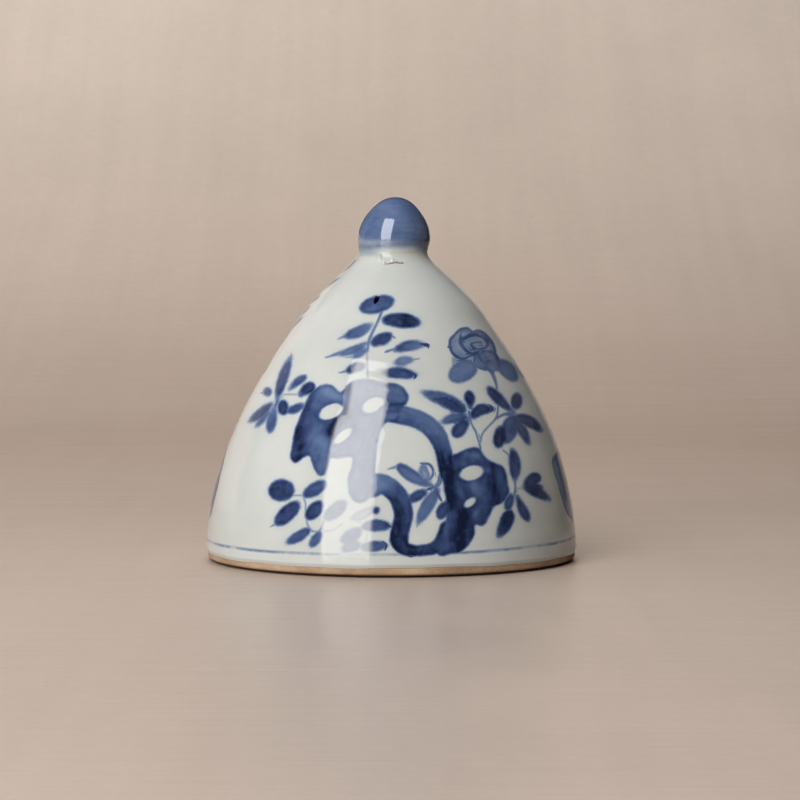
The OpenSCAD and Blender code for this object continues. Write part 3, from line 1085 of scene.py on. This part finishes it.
def bodyAngles():
    share = np.arange(body["columns"]) / body["columns"]
    turn = 2 * math.pi * share - body["crowding"] * np.sin(2 * math.pi * share)
    return math.radians(body["holeTurn"]) + turn


def wallRows():
    # runs of the rings, even across the hole, closer near the neck and the glaze line
    centre = runAt(body["holeHeight"])
    even = 2 * math.pi * onWall(centre)[0] / body["columns"] * (1 - body["crowding"])
    patch = body["patchCells"]
    first, last = runAt(form["glazeLine"]), wallRun[-1]
    rows = [centre + even * i for i in range(-patch, patch + 1)]
    upper, lower = body["fineReach"]
    for sign, end, fineFrom in ((1, last, last - upper), (-1, first, first + lower)):
        run, step, added = centre + sign * patch * even, even, []
        while sign * (end - run) > 1.4 * step:
            fine = sign * (run - fineFrom) > 0
            step = min(step * body["stepGrowth"], body["fineStep"] if fine else body["rowStep"])
            run += sign * step
            added.append(run)
        rows += added + [end]
    rows = np.array(sorted(rows))
    return rows, int(np.argmin(np.abs(rows - centre)))


def wallWander(angle, height):
    # how far the wall stands out from the true line: ridges, a slow sway, dents and the full side
    ridges = np.sin(height * 1.45 + 0.7 * np.sin(angle + 0.6)) + 0.6 * np.sin(height * 2.35 + angle)
    sway = np.sin(2 * angle + 0.4 + height * 0.03) + 0.5 * np.sin(3 * angle - height * 0.09)
    dents = np.sin(5 * angle + height * 0.31) * np.sin(height * 0.23 + 2 * angle)
    trueFrom, trueAt = form["trueFrom"]
    fade = smoothStep(trueAt, trueFrom, height)
    full = form["rightFull"] * smoothStep(*form["fullZone"], height) * smoothStep(-0.1, 0.95, np.sin(angle))
    return (body["ridge"] * ridges + body["sway"] * (0.6 * sway + 0.35 * dents) + full) * fade


def glazeEdge(angle):
    return 0.10 * np.sin(3 * angle + 1.1) + 0.07 * np.sin(7 * angle) + 0.05 * np.sin(17 * angle + 2.0)


# a crawled join under the knob: bumps (column, row, half sizes and height) and a split

neckFlaw = {
    "bumps": [
        (379.2, 257.2, 2.5, 3.8, 0.26), (384.0, 261.4, 1.8, 1.5, 0.15), (392.8, 260.2, 2.0, 1.3, 0.18),
        (396.4, 261.2, 1.3, 0.9, 0.09), (405.3, 262.7, 1.0, 0.9, 0.10), (382.0, 269.5, 3.5, 1.6, 0.05),
    ],
    "split": [(381.5, 263.9), (388, 263.6), (392, 263.0), (396, 262.3), (400, 262.9), (403.6, 262.8)],
    "depth": 0.14,
    "width": 0.72,
    "rows": (250, 275),     # rows of the picture that hold the split
}


def neckFlawRise(points):
    places = toPicture(points)
    rise = np.zeros(len(points))
    for x, y, wide, tall, height in neckFlaw["bumps"]:
        away = ((places[:, 0] - x) / wide) ** 2 + ((places[:, 1] - y) / tall) ** 2
        rise += height * np.exp(-away ** 1.5)
    front = points[:, 1] < 0
    highest, lowest = neckFlaw["rows"]
    near = front & (places[:, 1] > highest) & (places[:, 1] < lowest)
    split = np.zeros(len(points))
    gap, _, share, _ = offLine(places[near], curveThrough(neckFlaw["split"], 1.0))
    split[near] = np.exp(-(gap / neckFlaw["width"]) ** 2) * smoothStep(-0.02, 0.3, share)
    return rise * front - neckFlaw["depth"] * split, split


def skinRing(run, angle, depth, drop=0.0):
    # one ring of the skin at a depth below its outer face, and the normals there
    radius, height, out, up = onWall(run)
    toNeck = float(smoothStep(*form["neckZone"], height))
    stand = wallWander(angle, height) - depth
    above = height - form["glazeLine"]
    atEdge = math.exp(-max(above, 0) / form["edgeWaver"])
    thinBy, thinOver = form["edgeThin"]
    thin = thinBy * (1 - depth / form["coat"]) * math.exp(-(above / thinOver) ** 2)
    radial = radius + form["neckSwell"] * toNeck + out * (stand - thin)
    z = height + up * stand + glazeEdge(angle) * atEdge + drop
    x = radial * np.sin(angle) + form["neckShift"] * toNeck
    points = np.stack([x, -radial * np.cos(angle), z], axis=-1)
    normals = np.stack([out * np.sin(angle), -out * np.cos(angle), up + 0 * angle], axis=-1)
    return points, normals


def drawToHole(grid, normals, middle, way, half, sink):
    # squares of the grid round the hole are pulled into rings that fit its rim
    cut = body["holeCells"]
    patch = body["patchCells"] if sink else cut + body["insideCells"]
    centre, outward = grid[middle, 0].copy(), normals[middle, 0]
    right = grid[middle, 1] - grid[middle, -1]
    right /= np.linalg.norm(right)
    upward = np.cross(outward, right)
    for i in range(-patch, patch + 1):
        for j in range(-patch, patch + 1):
            ring = max(abs(i), abs(j))
            if ring < cut:
                continue
            a = math.atan2(way * i, j)
            leaning = math.cos(a) + body["holeLean"] * math.sin(a)
            across = half[0] * leaning * (1 + body["holeWiden"] * math.sin(a))
            rim = centre + across * right + half[1] * math.sin(a) * upward
            share = ((ring - cut) / (patch - cut)) ** body["holeSpread"]
            here = grid[middle + i, j]
            moved = rim + (here - rim) * share
            gap = np.linalg.norm(moved - rim)
            grid[middle + i, j] = moved - outward * sink * math.exp(-(gap / body["holeSink"][1]) ** 2)


def holeLoop(middle, way):
    # vertices round the cut square, anticlockwise seen from outside
    cut, columns = body["holeCells"], body["columns"]
    side = range(-cut, cut)
    steps = ([(-cut, j) for j in side] + [(i, cut) for i in side]
             + [(cut, -j) for j in side] + [(-i, -cut) for i in side])
    return [(middle + way * i) * columns + j % columns for i, j in steps]


def makeBody(material):
    columns, cut = body["columns"], body["holeCells"]
    angles = bodyAngles()
    rows, middle = wallRows()
    outer = len(rows)
    atHole, every = cut + body["insideCells"], body["insideEvery"]
    inside = [i for i in range(outer) if abs(i - middle) <= atHole or i % every == 0 or i == outer - 1][::-1]
    rings = [skinRing(run, angles, 0.0) for run in rows]
    rings += [skinRing(rows[i], angles, form["coat"]) for i in inside]
    rings += [skinRing(rows[0], angles, depth, drop) for depth, drop in body["edgeRings"]]
    points = np.array([ring[0] for ring in rings])
    normals = np.array([ring[1] for ring in rings])
    rise, split = neckFlawRise(points[:outer].reshape(-1, 3))
    points[:outer] += normals[:outer] * rise.reshape(outer, columns, 1)
    innerMiddle = outer + inside.index(middle)
    drawToHole(points, normals, middle, 1, body["holeHalf"], body["holeSink"][0])
    drawToHole(points, normals, innerMiddle, -1, body["holeInside"], 0.0)
    faces = ringFaces(len(rings), columns, closed=True)
    ringOf, columnOf = np.divmod(np.arange(len(faces)), columns)
    nearHole = (columnOf < cut) | (columnOf >= columns - cut)
    gone = [nearHole & (ringOf >= m - cut) & (ringOf < m + cut) for m in (middle, innerMiddle)]
    faces = faces[~(gone[0] | gone[1])].tolist()
    outLoop, inLoop = holeLoop(middle, 1), holeLoop(innerMiddle, -1)
    outNext, inNext = outLoop[1:] + outLoop[:1], inLoop[1:] + inLoop[:1]
    faces += list(zip(outLoop, outNext, inNext, inLoop))
    points, normals = points.reshape(-1, 3), normals.reshape(-1, 3)
    used = np.zeros(len(points), bool)
    used[np.unique(np.array(faces))] = True
    number = np.cumsum(used) - 1
    rims = np.zeros((len(rings), columns), bool)
    rims[outer - 1:outer + 1] = True
    piece = addMesh("paintedBody", points[used], number[np.array(faces)], material, rims.reshape(-1)[used])
    isOuter = np.arange(len(points)) < outer * columns
    coat = Coat(points, normals, np.flatnonzero(isOuter & used))
    crack = np.zeros(len(points))
    crack[:outer * columns] = split
    return piece, coat, crack, used


# a zone is where it begins and ends, and how strong it is at each end

glaze = {
    "ragged": 0.30,         # how much the edges of the marks waver
    "edge": (-0.36, 0.34),  # a mark fades in from outside its edge to inside it
    "lineEdge": (-0.20, 0.22, 1.0, 0.0),
    "lineReach": (0.14, 0.34, 1.0, 0.0),
    "lineWaver": 0.55,
    "streaky": 0.36,        # how much brush streaks and clouds show in a mark
    "even": 0.48,
    "cloudy": 0.66,
    "gather": 3.0,          # how fast the cobalt gathered at a rim fades inwards
    "bleed": (3.8, 0.17),   # and how fast and strongly it bleeds outwards
    "footLine": 3.52,       # height of the painted line round the foot
    "footLineSway": 0.5,
    "footLineTilt": 0.011,
    "footLineEdge": (0.02, 0.42, 1.0, 0.0),
    "footLineTone": (0.36, 0.62, 0.38, 0.11),
    "neckBlue": (52.3, 53.5),   # wash that ran down to the neck, on the left
    "neckTone": (-0.8, -4.0, 0.0, 0.19),
    "neckWarm": (51.6, 53.5, 0.0, 0.6),     # thin glaze at the neck
    "specks": (0.018, 0.045, 0.8, 0.0),     # as shares of their spacing, and their strength
    "specksRare": 0.86,
    "pits": (0.0, 0.05, 1.0, 0.0),
    "pitsRare": 0.8,
    "pitDepth": -0.25,
    "fine": 0.10,
    "relief": 0.0001,
    "roughness": (0.045, 0.085),
    "ior": 1.5,
}


def cobaltMarks(finish, where, wobble):
    # how much cobalt lies at each place of the broad marks, of the lines and of the bleeding round them
    ink = finish.plus(finish.read("ink"), wobble)
    cover = finish.span(ink, *glaze["edge"])
    grain = finish.read("grain", "Vector")
    streak = finish.noise(finish.stretch(grain, (0.20, 1.1, 1.0)), 1.0, 3.0, 0.55)
    cloud = finish.noise(where, 0.42, 3.0, 0.55, 0.4)
    uneven = finish.scaled(streak, glaze["streaky"], glaze["even"])
    uneven = finish.plus(uneven, finish.times(cloud, glaze["cloudy"]))
    filled = finish.times(finish.read("tone"), uneven)
    gather = finish.math("EXPONENT", finish.times(finish.math("MAXIMUM", ink, 0.0), -glaze["gather"]))
    gathered = finish.scaled(gather, finish.read("rim"), filled)
    mark = finish.times(cover, gathered)
    offset, half, lineTone = finish.split(finish.read("line", "Vector"))
    off = finish.math("SUBTRACT", finish.math("ABSOLUTE", offset), half)
    off = finish.scaled(wobble, glaze["lineWaver"], off)
    reach = finish.math("SUBTRACT", finish.read("gap"), half)
    lineCover = finish.times(finish.span(off, *glaze["lineEdge"]), finish.span(reach, *glaze["lineReach"]))
    lineMark = finish.times(lineCover, finish.times(lineTone, uneven))
    fade, strength = glaze["bleed"]
    bleed = finish.math("EXPONENT", finish.times(finish.math("MINIMUM", ink, 0.0), fade))
    bleed = finish.times(bleed, finish.times(finish.read("tone"), strength))
    return mark, lineMark, bleed


def footLineMark(finish, where, across, height):
    ring = finish.noise(finish.stretch(where, (1.0, 1.0, 0.1)), 0.16, 3.0, 0.7)
    ringAt = finish.scaled(ring, glaze["footLineSway"], glaze["footLine"])
    ringAt = finish.scaled(across, glaze["footLineTilt"], ringAt)
    ringOff = finish.math("ABSOLUTE", finish.math("SUBTRACT", height, ringAt))
    cover = finish.span(ringOff, *glaze["footLineEdge"])
    return finish.times(cover, finish.span(ring, *glaze["footLineTone"]))


def glazeRelief(finish, where):
    # orange peel, fine ripple and scattered pits
    peel = finish.noise(where, 0.30, 2.0, 0.5)
    fine = finish.noise(where, 2.2, 2.0, 0.5)
    pits = finish.spots(where, 0.35, glaze["pits"], glaze["pitsRare"], 1)
    relief = finish.scaled(fine, glaze["fine"], peel)
    return finish.bump(finish.scaled(pits, glaze["pitDepth"], relief), 0.35, glaze["relief"])


def paintedGlaze():
    finish = Finish("paintedGlaze")
    where = finish.place()
    across, _, height = finish.split(where)
    wobble = finish.scaled(finish.noise(where, 1.1, 3.0, 0.6), glaze["ragged"], -glaze["ragged"] / 2)
    cobalt = finish.times(finish.span(height, *glaze["neckBlue"]), finish.span(across, *glaze["neckTone"]))
    for mark in (*cobaltMarks(finish, where, wobble), footLineMark(finish, where, across, height)):
        cobalt = finish.math("MAXIMUM", cobalt, mark)
    paint = finish.ramp(cobalt, glazeTones["cobalt"])
    # painted highlight: where the softbox is mirrored down the front, the cobalt is painted paler
    paint = finish.mix(finish.read("cloud"), paint, finish.ramp(cobalt, glazeTones["highlightWash"]))
    mottle = finish.noise(where, 0.085, 4.0, 0.6)
    white = finish.ramp(mottle, glazeTones["white"])
    white = finish.mix(finish.span(height, *glaze["neckWarm"]), white, glazeTones["neck"])
    colour = finish.mix(1.0, white, paint, "MULTIPLY")
    specks = finish.spots(where, 0.17, glaze["specks"], glaze["specksRare"])
    colour = finish.mix(specks, colour, glazeTones["iron"])
    colour = finish.mix(finish.times(finish.read("crack"), 0.97), colour, glazeTones["crack"])
    rough = finish.span(mottle, 0.3, 0.7, *glaze["roughness"])
    return finish.surface(colour, rough, glazeRelief(finish, where), IOR=glaze["ior"])


glazeTones = {
    "wash": [
        (0.0, (1.0, 1.0, 1.0)), (0.12, (0.72, 0.78, 0.86)), (0.39, (0.235, 0.318, 0.585)),
        (0.51, (0.155, 0.235, 0.475)), (0.70, (0.08, 0.127, 0.32)), (1.0, (0.035, 0.058, 0.15)),
    ],
    "white": [(0.30, (0.69, 0.705, 0.665)), (0.55, (0.735, 0.75, 0.712)), (0.75, (0.77, 0.78, 0.742))],
    "cobalt": [
        (0.0, (1.0, 1.0, 1.0)), (0.12, (0.70, 0.77, 0.86)), (0.39, (0.245, 0.335, 0.60)),
        (0.51, (0.16, 0.245, 0.485)), (0.70, (0.078, 0.124, 0.315)), (0.85, (0.042, 0.067, 0.185)),
        (1.0, (0.014, 0.023, 0.07)),
    ],
    # colours of the painted highlight over the cobalt
    "highlightWash": [
        (0.0, (1.0, 1.0, 1.0)), (0.3, (0.83, 0.84, 0.91)), (0.6, (0.66, 0.675, 0.80)),
        (1.0, (0.50, 0.505, 0.62)),
    ],
    "neck": (0.60, 0.625, 0.56),
    "iron": (0.12, 0.075, 0.05),
    "crack": (0.23, 0.12, 0.075),
}


# painted shade inside the drip hole, with dark cobalt at its rim
holeShade = {
    "reach": 1.8,           # mm from the middle of the hole, on the inside
    "rim": 1.12,            # and on the outside, as a share of the hole
    "inside": 3.0,
    "tone": 1.1,
}


def shadeHole(coat):
    # the rim is dark with cobalt, and the way in is painted dark as painted shade
    radius, turn = onWall(runAt(body["holeHeight"]))[0], math.radians(body["holeTurn"])
    middle = np.array([radius * math.sin(turn), -radius * math.cos(turn), body["holeHeight"]])
    gap = coat.points - middle
    across = (gap[:, 0] * math.cos(turn) + gap[:, 1] * math.sin(turn)) / body["holeHalf"][0]
    up = np.hypot(gap[:, 2], gap[:, 0] * math.sin(turn) - gap[:, 1] * math.cos(turn)) * np.sign(gap[:, 2])
    up = up / body["holeHalf"][1]
    wide = 1 + body["holeWiden"] * np.clip(up, -1, 1)
    away = np.hypot((across - body["holeLean"] * up) / wide, up)
    dark = np.linalg.norm(gap, axis=1) < holeShade["reach"]
    outside = np.zeros(len(dark), bool)
    outside[coat.outside] = True
    dark &= ~outside | (away < holeShade["rim"])
    coat.ink[dark], coat.tone[dark], coat.rim[dark] = holeShade["inside"], holeShade["tone"], 0.0


bodyPiece, coat, crack, used = makeBody(paintedGlaze())
print("body shaped:", len(bodyPiece.data.vertices), "points")
paintSides(coat)
paintView(Sheet(coat, 0.0))
paintHighlightBand(Sheet(coat, 0.0))
shadeHole(coat)
for name in ("ink", "tone", "rim", "grain", "line", "gap", "cloud"):
    addValues(bodyPiece, name, getattr(coat, name)[used])
addValues(bodyPiece, "crack", crack[used])
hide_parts("body_glaze")
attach(bodyPiece, "root")
print("body painted:", coat.marks, "marks")

# knob: an egg on the neck, leaning a little to the right, dipped in a blue wash

knob = {
    "columns": 256,
    "rows": 84,
    "insideEvery": 6,
    # radius and height above the neck
    "egg": [
        (5.98, 0.0), (6.05, 0.45), (6.13, 1.0), (6.24, 1.7), (6.29, 2.5), (6.21, 3.3), (5.96, 4.3),
        (5.55, 5.28), (5.06, 6.15), (4.42, 7.0), (3.72, 7.8), (2.93, 8.52), (2.15, 9.04), (1.1, 9.43),
    ],
    "height": 9.55,
    "lean": 4.2,            # degrees to the right
    "leanOver": 3.0,        # the height over which it comes to lean
    "swell": [(0.004, 3, 1), (0.003, 5, 0)],    # it is not quite round: share, waves and turn
    "coat": 0.15,
}


def eggLine():
    # even steps along the egg, from the neck to just short of the top
    last = knob["egg"][-1]
    line = curveThrough(knob["egg"] + [(0.0, knob["height"]), (-last[0], last[1])], 0.02)
    line = line[:np.argmax(line[:, 0] < 0)]
    run = np.concatenate([[0], np.cumsum(np.hypot(*np.diff(line, axis=0).T))])
    steps = np.linspace(0, run[-1], knob["rows"] + 1)[:-1]
    way = np.gradient(line, run, axis=0)
    parts = [*line.T, way[:, 1], -way[:, 0]]
    return [np.array([np.interp(step, run, part) for part in parts]) for step in steps]


def knobRing(radius, up, angle):
    lean = math.radians(knob["lean"]) * float(smoothStep(0.0, knob["leanOver"], up))
    swell = 1 + sum(share * np.sin(waves * angle + turn) for share, waves, turn in knob["swell"])
    x, y = radius * swell * np.sin(angle), -radius * swell * np.cos(angle)
    px = x * math.cos(lean) + up * math.sin(lean) + form["neckShift"]
    pz = form["neckHeight"] + up * math.cos(lean) - x * math.sin(lean)
    return np.stack([px, y, pz], axis=-1)


def makeKnob(material):
    columns, coat = knob["columns"], knob["coat"]
    angles = 2 * math.pi * np.arange(columns) / columns
    line = eggLine()
    thinned = line[::knob["insideEvery"]]
    rings = [knobRing(r, up, angles) for r, up, _, _ in line]
    inner = [knobRing(r - coat * out, up - coat * rise, angles) for r, up, out, rise in thinned]
    inner[0][:, 2] = form["neckHeight"]
    tips = [knobRing(0.0, up, angles[:1]) for up in (knob["height"], knob["height"] - coat)]
    points = np.concatenate(rings + inner[::-1] + tips)
    outer = len(rings)
    faces = ringFaces(outer, columns).tolist()
    faces += (ringFaces(len(inner), columns) + outer * columns).tolist()
    top, under, low = (outer - 1) * columns, outer * columns, (outer + len(inner) - 1) * columns
    for j in range(columns):
        k = (j + 1) % columns
        faces += [(top + j, top + k, len(points) - 2), (len(points) - 1, under + k, under + j),
                  (low + j, low + k, k, j)]
    rims = np.zeros(len(points), bool)
    rims[:columns] = rims[low:low + columns] = True
    return addMesh("blueKnob", points, faces, material, rims), points


knobBlue = {
    "level": 0.46,
    "end": (54.15, 1.0, 0.35),      # height where the wash stops in front, and how much lower at each side
    "fadeIn": (-0.50, 1.0),
    "pale": (55.1, 0.62, 0.18),     # a paler zone above that, on the left: height, width and how much
    "stroke": (56.75, 0.10, 0.09),  # a darker turn of the brush in front
    "right": 0.10,                  # deeper at the right and at the top
    "top": (61.4, 62.9, 0.10),
    "low": (54.6, 53.8, 0.14),      # and thinner at the end of the wash, except on the right
    "cloudy": 0.5,
    "neckWarm": (53.4, 55.6, 0.6, 0.0),
    "roughness": (0.05, 0.09),
    "ior": 1.85,
}


def knobWash(points):
    # cobalt in the wash: deep above, pale just above its end, and running lower on the left
    x, y, z = points.T
    x = x - form["neckShift"]
    across = x / np.maximum(np.hypot(x, y), 0.5)
    end, left, right = knobBlue["end"]
    end = end - left * smoothStep(0.0, 0.85, -across) - right * smoothStep(0.3, 0.9, across)
    end = end + 0.07 * np.sin(5 * across + 2 * y / 6) + 0.05 * np.sin(13 * across)
    wash = knobBlue["level"] + 0.03 * np.sin(3 * across + z * 0.5)
    at, wide, much = knobBlue["pale"]
    pale = much * np.exp(-((z - at) / wide) ** 2) * smoothStep(-0.45, 0.35, -across)
    at, wide, much = knobBlue["stroke"]
    stroke = much * np.exp(-((z - at) / wide) ** 2) * smoothStep(0.45, 0.2, np.abs(across - 0.05))
    wash = wash - pale + stroke + knobBlue["right"] * smoothStep(0.35, 0.95, across)
    low, high, much = knobBlue["top"]
    wash = wash + much * smoothStep(low, high, z)
    high, low, much = knobBlue["low"]
    wash = wash - much * smoothStep(high, low, z) * smoothStep(0.1, -0.5, across)
    return wash * smoothStep(*knobBlue["fadeIn"], z - end)


def blueGlaze():
    finish = Finish("blueWashGlaze")
    where = finish.place()
    cloud = finish.noise(where, 0.5, 4.0, 0.6, 0.5)
    streak = finish.noise(finish.stretch(where, (0.35, 0.35, 2.2)), 0.9, 3.0, 0.6)
    cloudy = knobBlue["cloudy"]
    uneven = finish.plus(finish.scaled(cloud, cloudy, cloudy), finish.times(streak, cloudy))
    paint = finish.ramp(finish.times(finish.read("wash"), uneven), glazeTones["wash"])
    white = finish.ramp(finish.noise(where, 0.2, 3.0), glazeTones["white"])
    warm = finish.span(finish.split(where)[2], *knobBlue["neckWarm"])
    white = finish.mix(warm, white, glazeTones["neck"])
    colour = finish.mix(1.0, white, paint, "MULTIPLY")
    normal = finish.bump(finish.noise(where, 0.4, 2.0, 0.5), 0.3, glaze["relief"])
    rough = finish.span(cloud, 0.3, 0.7, *knobBlue["roughness"])
    return finish.surface(colour, rough, normal, IOR=knobBlue["ior"])


knobPiece, knobPoints = makeKnob(blueGlaze())
addValues(knobPiece, "wash", knobWash(knobPoints))
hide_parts("knob_glaze")
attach(knobPiece, "root")
print("knob shaped")

# foot: the bare turned slab with its flat ring, hollow and filling hole

foot = {
    "columns": 360,
    "edge": 32.15,
    "bevel": 0.45,
    "thick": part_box("base_slab")[1].z / mm,
    "ringWidth": 6.0,
    "hollow": 0.7,
    "hole": 3.2,
    "countersink": 0.9,
    "turned": (4.2, 25.5),          # turning ridges in the hollow, between these two radii
    "ridges": [(0.03, 4.1), (0.02, 9.7)],
    "sway": 0.05,                   # the edge is not quite round
    "uneven": 0.012,
    "chip": (-7.3, 0.5, 0.28),      # place along the front, half width and depth of a chip
}


def footLine():
    # the turned profile from the filling hole out along the underside and up the edge
    hole, edge, thick, hollow, bevel = [foot[name] for name in ("hole", "edge", "thick", "hollow", "bevel")]
    ring = edge - bevel - foot["ringWidth"]
    sink = hole + foot["countersink"]
    low = hollow + foot["countersink"]
    line = [(hole, thick), (hole, low + 0.05)]
    line += [(hole + 0.06, low - 0.05), (sink - 0.08, hollow + 0.1)]
    line += [(r, hollow) for r in np.linspace(sink + 0.08, ring - hollow - 0.1, 60)]
    line += [(ring - hollow + 0.12, hollow - 0.1), (ring - 0.1, 0.1)]
    line += [(r, 0.0) for r in np.linspace(ring + 0.15, edge - bevel - 0.08, 26)]
    line += [(edge - bevel * 0.55, bevel * 0.42), (edge - 0.05, bevel - 0.04)]
    line += [(edge, z) for z in np.linspace(bevel + 0.08, thick - 0.1, 12)]
    line += [(edge - 0.1, thick)]
    line += [(r, thick) for r in np.linspace(edge - 2.0, hole + 1.0, 12)]
    return line


def makeFoot(material):
    columns, uneven = foot["columns"], foot["uneven"]
    angle = 2 * math.pi * np.arange(columns) / columns
    inner, outer = foot["turned"]
    rings = []
    for r, z in footLine():
        inHollow = inner < r < outer and abs(z - foot["hollow"]) < 0.15
        turning = sum(deep * math.sin(r * close) for deep, close in foot["ridges"]) if inHollow else 0.0
        sway = foot["sway"] * np.sin(2 * angle + 1) * smoothStep(30.0, 32.0, r) * smoothStep(0.0, 0.4, z)
        lift = uneven * np.sin(7 * angle + r) if z > 0.01 else uneven * (1 + np.sin(5 * angle + r))
        radius = r + np.minimum(sway, 0.0)
        rings.append(np.stack([radius * np.sin(angle), -radius * np.cos(angle), z + turning + lift], axis=-1))
    points = np.concatenate(rings)
    place, half, depth = foot["chip"]
    chip = np.exp(-((points[:, 0] - place) / half) ** 2 - ((points[:, 2] - 0.3) / 0.5) ** 2)
    chip *= (points[:, 1] < 0) & (np.hypot(points[:, 0], points[:, 1]) > 31)
    points[:, 1] += depth * chip
    points[:, 2] = np.maximum(points[:, 2], 0.0)
    return addMesh("bareFoot", points, ringFaces(len(rings), columns, closed=True), material)


clayTones = {
    "foot": [(0.40, (0.35, 0.205, 0.118)), (0.58, (0.54, 0.352, 0.212)), (0.80, (0.70, 0.505, 0.325))],
    "flash": (0.80, 0.47, 0.27),
    # colour of the painted contact shadow at the bottom of the foot
    "contactShade": (0.035, 0.02, 0.013),
    "grit": (0.16, 0.10, 0.07),
    "white": [(0.36, (0.58, 0.54, 0.47)), (0.55, (0.68, 0.645, 0.58)), (0.74, (0.75, 0.72, 0.66))],
    "slip": [(0.36, (0.62, 0.59, 0.53)), (0.55, (0.72, 0.69, 0.63)), (0.74, (0.79, 0.77, 0.71))],
    "holeShade": (0.035, 0.03, 0.027),
}

clay = {
    "flash": (1.1, 1.5, 0.0, 0.4),      # the edge turned orange in the kiln next to the glaze
    "contactShade": (0.10, 0.46, 0.95, 0.0),    # painted contact shadow: darker towards the bottom, where the foot meets the desk
    "grit": (0.05, 0.14, 0.75, 0.0),
    "gritRare": 0.7,
    # painted shade inside the drip hole: its middle, and how it fades away from there
    "shadePlace": (-2.2, -10.9, body["holeHeight"] - 0.6),
    "holeShade": (1.2, 3.4, 1.0, 0.0),
}


def bareClay():
    finish = Finish("buffFoot")
    where = finish.place()
    cloud = finish.noise(where, 0.12, 4.0, 0.6)
    grit = finish.noise(where, 2.4, 4.0, 0.7)
    colour = finish.ramp(finish.scaled(grit, 0.4, finish.times(cloud, 0.8)), clayTones["foot"])
    height = finish.split(where)[2]
    # orange kiln flash next to the glaze, then painted contact shadow at the bottom of the foot
    for name in ("flash", "contactShade"):
        colour = finish.mix(finish.span(height, *clay[name]), colour, clayTones[name])
    colour = finish.mix(finish.spots(where, 0.5, clay["grit"], clay["gritRare"]), colour, clayTones["grit"])
    ridges = finish.noise(finish.stretch(where, (1.0, 1.0, 6.0)), 1.2, 3.0, 0.6)
    normal = finish.bump(finish.plus(grit, ridges), 0.6, 0.00012)
    return finish.surface(colour, finish.span(grit, 0.3, 0.7, 0.7, 0.9), normal, IOR=1.45)


footPiece = makeFoot(bareClay())
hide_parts("base_slab")
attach(footPiece, "root")
print("foot shaped")

# clay and slip under the glaze and inside, on the frame's own pieces


def whiteClay(name, tones, ridgeScale, boreShaded):
    finish = Finish(name)
    where = finish.place()
    cloud = finish.noise(where, 0.25, 4.0, 0.6)
    grit = finish.noise(where, 3.0, 3.0, 0.7)
    colour = finish.ramp(finish.scaled(grit, 0.3, finish.times(cloud, 0.7)), tones)
    if boreShaded:                 # painted shade: the clay is painted dark inside the drip hole
        away = finish.node("ShaderNodeVectorMath", where, clay["shadePlace"], operation="DISTANCE", out=1)
        colour = finish.mix(finish.span(away, *clay["holeShade"]), colour, clayTones["holeShade"])
    rings = finish.noise(finish.stretch(where, (0.12, 0.12, 1.0)), ridgeScale, 2.0, 0.5)
    normal = finish.bump(finish.scaled(grit, 0.35, rings), 0.5, 0.00025)
    return finish.surface(colour, finish.span(grit, 0.3, 0.7, 0.62, 0.82), normal, IOR=1.5)


wallClay = whiteClay("thrownClay", clayTones["white"], 0.5, True)
insideClay = whiteClay("formedClay", clayTones["white"], 0.8, False)
slipClay = whiteClay("brushedSlip", clayTones["slip"], 1.4, False)
coatOf = {
    "thrown_wall": wallClay,
    "filling_tube": insideClay,
    "knob": insideClay,
    "wall_luting_slip": slipClay,
    "tube_luting_slip": slipClay,
    "knob_luting_slip": slipClay,
}
for node, coating in coatOf.items():
    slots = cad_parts[node].material_slots
    for slot in slots:
        slot.material = coating
    if not len(slots):
        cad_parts[node].data.materials.append(coating)
print("clay and slip coated")
